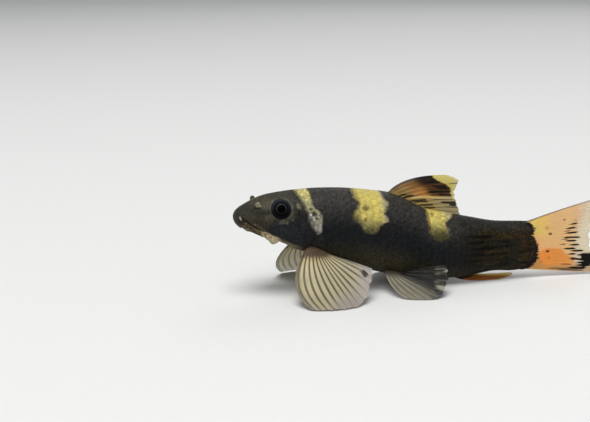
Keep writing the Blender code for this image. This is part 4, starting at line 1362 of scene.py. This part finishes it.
def make_membrane(fin, finish):
    """The thin skin between a fin's rays, thicker at its foot, which starts inside the body."""
    f = np.repeat(fin.shares[:, None], MEMBRANE_ROWS, axis=1)
    share = np.linspace(0.0, 1.0, MEMBRANE_ROWS)[None, :]
    t = share * fin.margin(f)
    centre = fin.at(fin.grid, f, t)
    normal = unit(fin.at(fin.normal, f, t))
    foot_thickness, foot_reach = fin.flesh
    thickness = WEB_THICKNESS * (1 - 0.45 * share) + foot_thickness * bell(t, foot_reach)
    thickness = thickness * np.sqrt(np.sin(HALF_TURN * (0.04 + 0.92 * f)) ** 0.5)
    half = normal * thickness[..., None] / 2
    centre = np.concatenate([centre[:, :1] + fin.inward * ROOT_DEPTH, centre], axis=1)
    made = thin_sheet(f"{fin.name}_membrane", centre, np.concatenate([half[:, :1], half], axis=1), finish)
    along = np.concatenate([np.full((len(t), 1), -0.05), t], axis=1).ravel()
    across = np.repeat(fin.shares, MEMBRANE_ROWS + 1)
    point_values(made, "across", np.concatenate([across, across]))
    point_values(made, "along", np.concatenate([along, along]))
    dress(made, fin.slot, fin.name)


def ray_lines(fin):
    """The bony rays as lines. All but the first and the last fork twice on their way to the margin."""
    points, edges, radii, across, along = [], [], [], [], []
    spacing = 1.0 / (fin.rays - 1)
    first_fork, second_fork = RAY_FORKS

    def line(middle, start, end, steps, strength=1.0, way=0, turn=0):
        """One stretch of a ray. way and turn say to which side it bends at the first and second fork."""
        t = np.linspace(start, end, steps)
        spread = 0.20 * spacing * way * smooth_step((t - first_fork) / 0.35)
        more = 0.10 * spacing * turn * smooth_step((t - second_fork) / 0.22)
        f = np.clip(middle + spread + more, 0, 1)
        where = fin.at(fin.grid, f, t * (fin.margin(f) + 0.004))
        if start == 0.0:
            where = np.vstack([where[:1] + fin.inward * ROOT_DEPTH * 0.8, where])
            t = np.concatenate([[0.0], t])
            f = np.concatenate([f[:1], f])
        first = len(points)
        points.extend(where)
        radii.extend(fin.thickness * strength * (1.0 - 0.72 * t**0.9))
        across.extend(f)
        along.extend(t)
        edges.extend((first + k, first + k + 1) for k in range(len(t) - 1))

    for i in range(fin.rays):
        middle = i * spacing
        if i in (0, fin.rays - 1):
            line(middle, 0.0, 1.0, 26, FIRST_RAY_STRENGTH if i == 0 else 1.0)
            continue
        line(middle, 0.0, first_fork + FORK_OVERLAP, 14)
        for way in (-1, 1):
            line(middle, first_fork, second_fork + FORK_OVERLAP, 10, 0.85, way)
            for turn in (-1, 1):
                line(middle, second_fork, 1.0, 8, 0.78, way, turn)
    return np.array(points), edges, np.array(radii), across, along


def ray_shaping():
    """Turns lines into round rods of their own thickness."""
    shaping = Shaping("bony rays", Sides="NodeSocketInt", Finish="NodeSocketMaterial")
    curve = shaping.node("GeometryNodeMeshToCurve", {}, {"Mesh": shaping.given("Geometry")})
    ring = shaping.node("GeometryNodeCurvePrimitiveCircle", {"mode": "RADIUS"}, {
        "Resolution": shaping.given("Sides"), "Radius": 1.0,
    })
    rod = shaping.node("GeometryNodeCurveToMesh", {}, {
        "Curve": curve, "Profile Curve": ring, "Fill Caps": True,
        "Scale": shaping.named("thickness", "FLOAT"),
    })
    shaping.finish(rod, shaping.given("Finish"))
    return shaping


def make_rays(fin, shaping, finish):
    points, edges, radii, across, along = ray_lines(fin)
    points[:, 2] = np.maximum(points[:, 2], radii + 0.01)
    made = piece(f"{fin.name}_rays", points, [], [], False, edges)
    point_values(made, "thickness", radii * MM)
    point_values(made, "across", across)
    point_values(made, "along", along)
    shaping.apply(made, Sides=6, Finish=finish)
    dress(made, fin.slot, fin.name)


def fin_values(paint, rays):
    """The share across a fin, the share along it, how far between rays, and small unevenness."""
    across, along = paint.stored("across"), paint.stored("along")
    return SimpleNamespace(
        across=across, along=along,
        between=1.0 - abs((across * (rays - 1.0)).fraction() - 0.5) * 2.0,
        fine=paint.noise(paint.place()[3], 2.6, 3.0, 0.6),
        uneven=paint.noise(paint.vector(across * (rays * 1.7), along * 1.4, 0.0), 1.0, 2.0, 0.5),
    )


def dorsal_colours(paint, fin, bony):
    across, along, fine = fin.across, fin.along, fin.fine
    jag = fin.uneven.swing(0.5)
    lower = across.rises(0.46, 0.60)
    upper = 1.0 - lower
    tip = (along - across.through(DORSAL_YELLOW_EDGE, (1.0, 1.2)) + jag * 0.16).rises(-0.014, 0.020)
    rust = (along + jag * 0.3).rises(0.22, 0.42) * upper
    deep = (along + jag * 0.3).rises(0.46, 0.62) * upper
    brown_top = (across + jag * 0.2).rises(0.30, 0.12) * (along + jag * 0.3).rises(0.22, 0.46)
    dark_top = (across + jag * 0.12).rises(0.24, 0.12) * (along + jag * 0.30).rises(0.42, 0.66) * (1.0 - tip)
    cream_line = along.through(DORSAL_CREAM_LINE, (1.2, 1.0))
    cream = (across - cream_line).near(0.0, 0.050).rises(0.0, 0.6) * along.rises(0.05, 0.2)
    streaks = streaks_on(across + jag * 0.02, along, 0.044, DORSAL_STREAKS)
    thin = streaks_on(across, along, 0.022, DORSAL_GREY_STREAKS)
    feet = streaks_on(across + jag * 0.02, along, 0.042, DORSAL_FOOT_STREAKS)
    edge = across.rises(0.026, 0.008) * along.rises(0.85, 0.74)
    pale_lower = paint.mix(along.rises(0.25, 0.7), DORSAL_PALE_FOOT, DORSAL_PALE_TIP)
    colour = paint.layers(
        paint.mix(lower, DORSAL_TAN, pale_lower),
        (rust * (0.55 + fine * 0.6), DORSAL_RUST),
        (brown_top * (0.45 + fine * 0.5), DORSAL_BROWN),
        (deep * (0.62 + fin.uneven * 0.6), DORSAL_DEEP),
        (fin.between.rises(0.40, 0.85) * 0.42, DORSAL_GROOVE),
        (cream * 0.9, DORSAL_CREAM),
        (edge * 0.8, DORSAL_EDGE),
        (tip * (1.0 - across * 0.35), DORSAL_YELLOW),
        (along.rises(0.93, 1.0) * tip * 0.55, DORSAL_FRINGE),
        (dark_top * 0.95, DORSAL_BLACK),
        ((streaks + feet).least(1.0) * 0.96, FIN_BLACK),
        (thin * 0.75, DORSAL_GREY),
    )
    solid = (rust + deep + dark_top + streaks + feet + tip * 0.5).least(1.0)
    if bony:
        colour = paint.scaled(colour, 1.0 + along.rises(0.75, 0.35) * 0.35)
    return colour, 0.91 + upper * 0.05 + solid * 0.10


def caudal_colours(paint, fin, bony):
    across, share, fine = fin.across, fin.along, fin.fine
    along, side, up, where = paint.place()
    jag = fin.uneven.swing(0.5)
    streaks = streaks_on(across + jag * 0.02, share, 0.019, CAUDAL_STREAKS)
    thin = streaks_on(across, share, 0.013, CAUDAL_THIN_STREAKS)
    dashes = streaks_on(across, share, 0.012, CAUDAL_RED_STREAKS) * fine.rises(0.36, 0.46)
    lobe_top = (0.88 - (share - 0.74) * 1.3).most(0.735)
    lobe_foot = 0.965 - (share - 0.77).most(0.0) * 0.5
    lobe = (across + jag * 0.04 - lobe_top).rises(-0.018, 0.018)
    lobe = lobe * (lobe_foot - across - jag * 0.03).rises(-0.01, 0.02)
    lobe = lobe * (share + jag * 0.5).rises(0.765, 0.80)
    lobe = (lobe + streaks_on(across + jag * 0.02, share, 0.024, CAUDAL_LOBE_STREAKS)).least(1.0)
    spots = spots_on(along, up, CAUDAL_SPOTS, fine.swing(0.3))
    faint = spots_on(along, up, CAUDAL_FAINT_SPOTS, fine.swing(0.5))
    colour = paint.layers(
        tail_colours(paint, along, up, fine, fine.swing(1.4)),
        (fin.between.rises(0.55, 0.9) * 0.16, CAUDAL_GROOVE),
        (faint * 0.40, CAUDAL_FAINT_SPOT),
        (streaks, FIN_BLACK),
        (thin * 0.9, CAUDAL_THIN_BLACK),
        (lobe, FIN_BLACK),
        (spots * 0.9, CAUDAL_SPOT),
        (dashes, CAUDAL_RED),
        (stem_end(paint, along, up), CAUDAL_FOOT),
        (across.rises(0.016, 0.004) * 0.75, CAUDAL_EDGE),
    )
    clear = (along + jag * 2.0).rises(69.0, 72.5)
    return colour, 0.96 - clear * 0.40 + (streaks + lobe + thin).least(1.0) * 0.5


def anal_colours(paint, fin, bony):
    across, along = fin.across, fin.along
    jag = fin.uneven.swing(0.3)
    base = (along + jag).rises(0.34, 0.18) * across.rises(1.0, 0.8)
    light = (across + along.swing(0.16) + jag * 0.2).rises(0.60, 0.82)
    clear = (along + jag * 0.5).rises(0.90, 1.0)
    colour = paint.layers(
        ANAL_RUST,
        (light, ANAL_YELLOW),
        (clear * 0.7, ANAL_CLEAR),
        (base, FIN_BLACK),
        (fin.between.rises(0.4, 0.8) * (1.0 - light) * 0.45, ANAL_GROOVE),
    )
    return colour, 0.97 - clear * 0.3


def pectoral_colours(paint, fin, bony):
    across, along = fin.across, fin.along
    front_rays = across.rises(0.50, 0.15)
    tip = (along + fin.uneven.swing(0.2) - front_rays * 0.25).rises(0.58, 0.92)
    foot = (along + fin.fine.swing(0.08)).rises(0.19, 0.09)
    inner = across.rises(0.86, 0.97) * along.rises(0.80, 0.50)
    fleck_x, fleck_y = (across - 0.87) * 14.5, (along - 0.84) * 7.4
    ragged = paint.noise(paint.vector(across * 95.0, along * 14.0, 0.0), 1.0, 2.0, 0.6)
    fleck = ((fleck_x * fleck_x + fleck_y * fleck_y).root() + ragged.swing(1.5)).rises(0.66, 0.44)
    if bony:
        ground = paint.mix(tip, paint.mix(front_rays, PECTORAL_RAY, PECTORAL_FRONT_RAY), PECTORAL_TIP_RAY)
        groove = 0.0
    else:
        ground = paint.mix(tip, paint.mix(front_rays, PECTORAL_WEB, PECTORAL_FRONT_WEB), PECTORAL_TIP_WEB)
        groove = fin.between.rises(0.48, 0.76)
    colour = paint.layers(
        ground,
        ((1.0 - tip * 0.6) * groove * 0.95, PECTORAL_GROOVE),
        (inner * 0.75, PECTORAL_INNER),
        (across.rises(0.085, 0.02) * 0.75, PECTORAL_EDGE),
        (fleck * 0.96, FIN_BLACK),
        (foot * 0.93, PECTORAL_FOOT),
    )
    return colour, 0.82 + foot * 0.4 - tip * 0.20 + inner * 0.25 + groove * 0.20 + fleck


def pelvic_colours(paint, fin, bony):
    across, along, uneven = fin.across, fin.along, fin.uneven
    rear = (across + along * 0.10 + uneven.swing(0.15)).rises(0.42, 0.68)
    foot = along.rises(0.20, 0.08)
    tips = (along + uneven.swing(0.3)).rises(0.72, 0.90) * rear
    if bony:
        ground = paint.mix(rear, PELVIC_RAY, PELVIC_DARK_RAY)
        groove = 0.0
    else:
        ground = paint.mix(rear, PELVIC_WEB, PELVIC_DARK_WEB)
        groove = fin.between.rises(0.40, 0.75)
    colour = paint.layers(
        ground,
        ((1.0 - rear) * groove * 0.5, PELVIC_GROOVE),
        (tips * uneven.rises(0.50, 0.58) * 0.8, PELVIC_TIP),
        (tips * fin.between.rises(0.35, 0.6) * 0.9, FIN_BLACK),
        (foot * 0.85, PELVIC_FOOT),
    )
    return colour, 0.58 + rear * 0.30 + foot * 0.4


FIN_COLOURS = {
    "dorsal": dorsal_colours, "caudal": caudal_colours, "anal": anal_colours,
    "pectoral": pectoral_colours, "pelvic": pelvic_colours,
}


def fin_finish(kind, bony):
    """A fin's material, for its clear skin, which lets light through, or for its rays with their joints."""
    weight, depth = (0.8, 0.0006) if kind == "pectoral" else (0.5, 0.0003)
    paint = Paint(
        f"{kind}_fin_{'rays' if bony else 'membrane'}", Specular_IOR_Level=0.10, Subsurface_Weight=weight,
        Subsurface_Radius=(1.0, 1.0, 1.0), Subsurface_Scale=depth,
    )
    fin = fin_values(paint, FINS[kind].rays)
    colour, alpha = FIN_COLOURS[kind](paint, fin, bony)
    relief = (fin.along * 210.0).sine() if bony else fin.fine
    return paint.set(
        Base_Color=paint.scaled(colour, 0.86 + fin.fine * 0.28), Alpha=1.0 if bony else alpha.least(1.0),
        Roughness=0.34 + fin.fine * 0.2, Normal=paint.bump(relief, 0.00002, 0.5),
    )


def make_fins():
    shaping = ray_shaping()
    finishes = {kind: (fin_finish(kind, False), fin_finish(kind, True)) for kind in FINS}
    median = {"dorsal": median_ray(DORSAL), "caudal": caudal_ray, "anal": median_ray(ANAL)}
    fins = [Fin(f"{kind}_fin", kind, f"{kind}_fin", ray) for kind, ray in median.items()]
    for side in SIDES:
        for kind, values in PAIRED_FINS.items():
            fins.append(Fin(f"{kind}_fin_{side}", kind, "paired_fin", paired_ray(side, values)))
    for fin in fins:
        web, bony = finishes[fin.kind]
        make_membrane(fin, web)
        make_rays(fin, shaping, bony)


def eye_finish(side):
    """A black pupil, a thin silver ring, a dark iris and a blue-grey outer ring round the eye's axis."""
    paint = Paint(f"eye_{side}", 0.30, Specular_IOR_Level=0.0, Coat_Weight=0.02, Coat_Roughness=0.04)
    centre, axes = eye_place(side)
    where = paint.place()[3]
    away = paint.node("ShaderNodeVectorMath", {"operation": "SUBTRACT"}, [where, tuple(centre)])
    across, down = (
        paint.node("ShaderNodeVectorMath", {"operation": "DOT_PRODUCT"}, [away, tuple(axis)], "Value")
        for axis in axes[:2]
    )
    fine = paint.noise(where, 5.0, 3.0, 0.6)
    ring = (across * across + down * down).root() + fine.swing(0.05)
    upper = down.rises(1.2, -1.0)
    silver = ring.near(*IRIS_RING) * (0.15 + upper * 0.85)
    pupil = ring.rises(PUPIL_RADIUS + 0.05, PUPIL_RADIUS - 0.02)
    iris = paint.mix(ring.rises(1.20, 1.80), IRIS_BLACK, IRIS_BLUE)
    iris = paint.scaled(iris, (0.45 + upper * 0.75) * (0.7 + fine * 0.6))
    colour = paint.layers(iris, (silver * (0.35 + fine * 0.7), IRIS_SILVER), (pupil, PUPIL_BLACK))
    return paint.set(Base_Color=colour, Normal=paint.bump(fine, 0.00001, 0.3))


def make_eye(side):
    """An eyeball with its middle slightly raised, as the lens raises it."""
    centre, axes = eye_place(side)
    rings, around = 39, 64
    down = HALF_TURN * np.arange(1, rings + 1)[:, None] / (rings + 1)
    turn = 2 * HALF_TURN * np.arange(around) / around
    ring = np.sin(down) * EYE_RADIUS
    rise = np.cos(down) * EYE_HALF_DEPTH + EYE_LENS_RAISE * bell(ring, 0.9) * (down < 1.5)
    grid = np.stack([ring * np.cos(turn), ring * np.sin(turn), rise + 0 * turn], axis=-1)
    ends = [(0.0, 0.0, EYE_HALF_DEPTH + EYE_LENS_RAISE), (0.0, 0.0, -EYE_HALF_DEPTH)]
    points = np.vstack([grid.reshape(-1, 3), ends])
    faces = tube_faces(rings, around, len(points) - 2, len(points) - 1)
    made = piece(f"eyeball_{side}", points @ axes + centre, faces, [eye_finish(side)])
    dress(made, "eye", f"eye_{side}")


def soft_tube(name, path, radii, finish, sides=20):
    """A round soft tube along a path, closed by a dome at its tip."""
    along = unit(np.gradient(path, axis=0))
    side = unit(np.cross(along, np.array([0.31, 0.2, 0.93])))
    up = np.cross(side, along)
    turns = 2 * HALF_TURN * np.arange(sides) / sides
    rings = [
        p + r * (np.cos(turns)[:, None] * s + np.sin(turns)[:, None] * u)
        for p, r, s, u in zip(path, radii, side, up)
    ]
    points = np.vstack([*rings, path[:1], path[-1:] + along[-1] * radii[-1] * 0.5])
    return piece(name, points, tube_faces(len(rings), sides, len(points) - 2, len(points) - 1), [finish])


def soft_finish(name, colour, other_colour):
    paint = Paint(name, 0.4, Specular_IOR_Level=0.25)
    fine = paint.noise(paint.place()[3], 2.4, 3.0, 0.6)
    mixed = paint.mix(fine.rises(0.38, 0.62), colour, other_colour)
    return paint.set(Base_Color=mixed, Normal=paint.bump(fine, 0.00004, 0.6))


def make_barbels():
    share = np.linspace(0.0, 1.0, 14)
    for kind, (distance, degrees, length, way, thickness, colours) in BARBELS.items():
        finish = soft_finish(f"{kind}_barbel_skin", *colours)
        path = skin_point(distance, degrees) + (share[:, None] * 1.35 - 0.3) * unit(way) * length
        path[:, 2] -= 0.3 * share**2
        path[:, 0] += 0.12 * share**2
        radii = between(thickness, share**0.8)
        radii[-3:] *= (0.95, 0.8, 0.5)
        for side in SIDES:
            made = soft_tube(f"barbel_{kind}_{side}_skin", mirrored(path, side), radii, finish)
            dress(made, "barbel", f"barbel_{kind}_{side}")


def make_nostril_flaps(finish):
    """A small upright flap of skin between the two openings of each nostril."""
    f, t = np.meshgrid(np.linspace(-1, 1, 17), np.linspace(0, 1, 12), indexing="ij")
    width = FLAP_HALF_WIDTH * np.sqrt(np.clip(1.02 - t**3, 0, 1))
    height = FLAP_HEIGHT * (1 - 0.30 * bell(f + 0.1, 0.20))
    for side in SIDES:
        front, hind, foot, across = nostril_places(side)
        along = unit(hind - front)
        out = np.cross(across, along) * (1 if side == "left" else -1)
        centre = (
            foot + across * (f * width)[..., None] + out * (t * height - 0.15)[..., None]
            + along * (0.30 * f**2 + 0.34 * t**1.5 - 0.12)[..., None]
        )
        half = FLAP_THICKNESS / 2 * (1 - 0.45 * t)[..., None] * along
        made = thin_sheet(f"nostril_flap_{side}", centre, half, finish)
        if side == "right":
            made.data.flip_normals()
        dress(made, "head_skin")


def aimed(made, place, way):
    """Puts a lamp or the camera at a place in millimetres, and turns it to look the given way."""
    made.location = np.array(place) * MM
    made.rotation_mode = "QUATERNION"
    made.rotation_quaternion = Vector(way).to_track_quat("-Z", "Y")
    return made


def make_stage():
    """A plain pale floor, a large soft lamp above, a soft fill and a faint lamp behind."""
    paint = Paint("stage_floor", 0.75)
    grain = paint.noise(paint.place()[3], 0.6, 4.0, 0.6)
    finish = paint.set(Base_Color=paint.scaled(FLOOR_PALE, 0.97 + grain * 0.05))
    corners = np.array([(-1, -1, 0), (1, -1, 0), (1, 1, 0), (-1, 1, 0)]) * FLOOR_HALF_WIDTH
    piece("stage_floor", corners, [(0, 1, 2, 3)], [finish], False)
    for name, (place, width, power) in LAMPS.items():
        light = bpy.data.lights.new(name, "AREA")
        light.shape = "DISK"
        light.size = width * MM
        light.energy = power
        aimed(add_object(name, light), place, np.array(LAMP_TARGET) - place)
    world = bpy.data.worlds.new("studio")
    world.use_nodes = True
    back = world.node_tree.nodes["Background"]
    back.inputs["Color"].default_value = SKY_COLOUR
    back.inputs["Strength"].default_value = SKY_STRENGTH
    bpy.context.scene.world = world
    bpy.context.scene.view_settings.view_transform = "Standard"


def make_camera():
    data = bpy.data.cameras.new("camera")
    data.sensor_fit = "HORIZONTAL"
    data.sensor_width = SENSOR_WIDTH
    data.lens = SENSOR_WIDTH * FOCAL_PIXELS / PHOTO_WIDTH
    data.clip_start = 0.01
    back = np.array([
        math.sin(CAMERA_AZIMUTH) * math.cos(CAMERA_ELEVATION),
        -math.cos(CAMERA_AZIMUTH) * math.cos(CAMERA_ELEVATION),
        math.sin(CAMERA_ELEVATION),
    ])
    bpy.context.scene.camera = aimed(add_object("camera", data), CAMERA_PLACE, -back)


def make_fish():
    skin = make_skin(skin_finish())
    scales = make_scales(skin, scale_finish())
    dress(skin, "body_skin", "head", "trunk", "tail_stem")
    dress(scales, "body_skin")
    for side in SIDES:
        make_eye(side)
    make_barbels()
    make_nostril_flaps(soft_finish("nostril_skin", *NOSTRIL_COLOURS))
    make_fins()


make_stage()
make_camera()
make_fish()
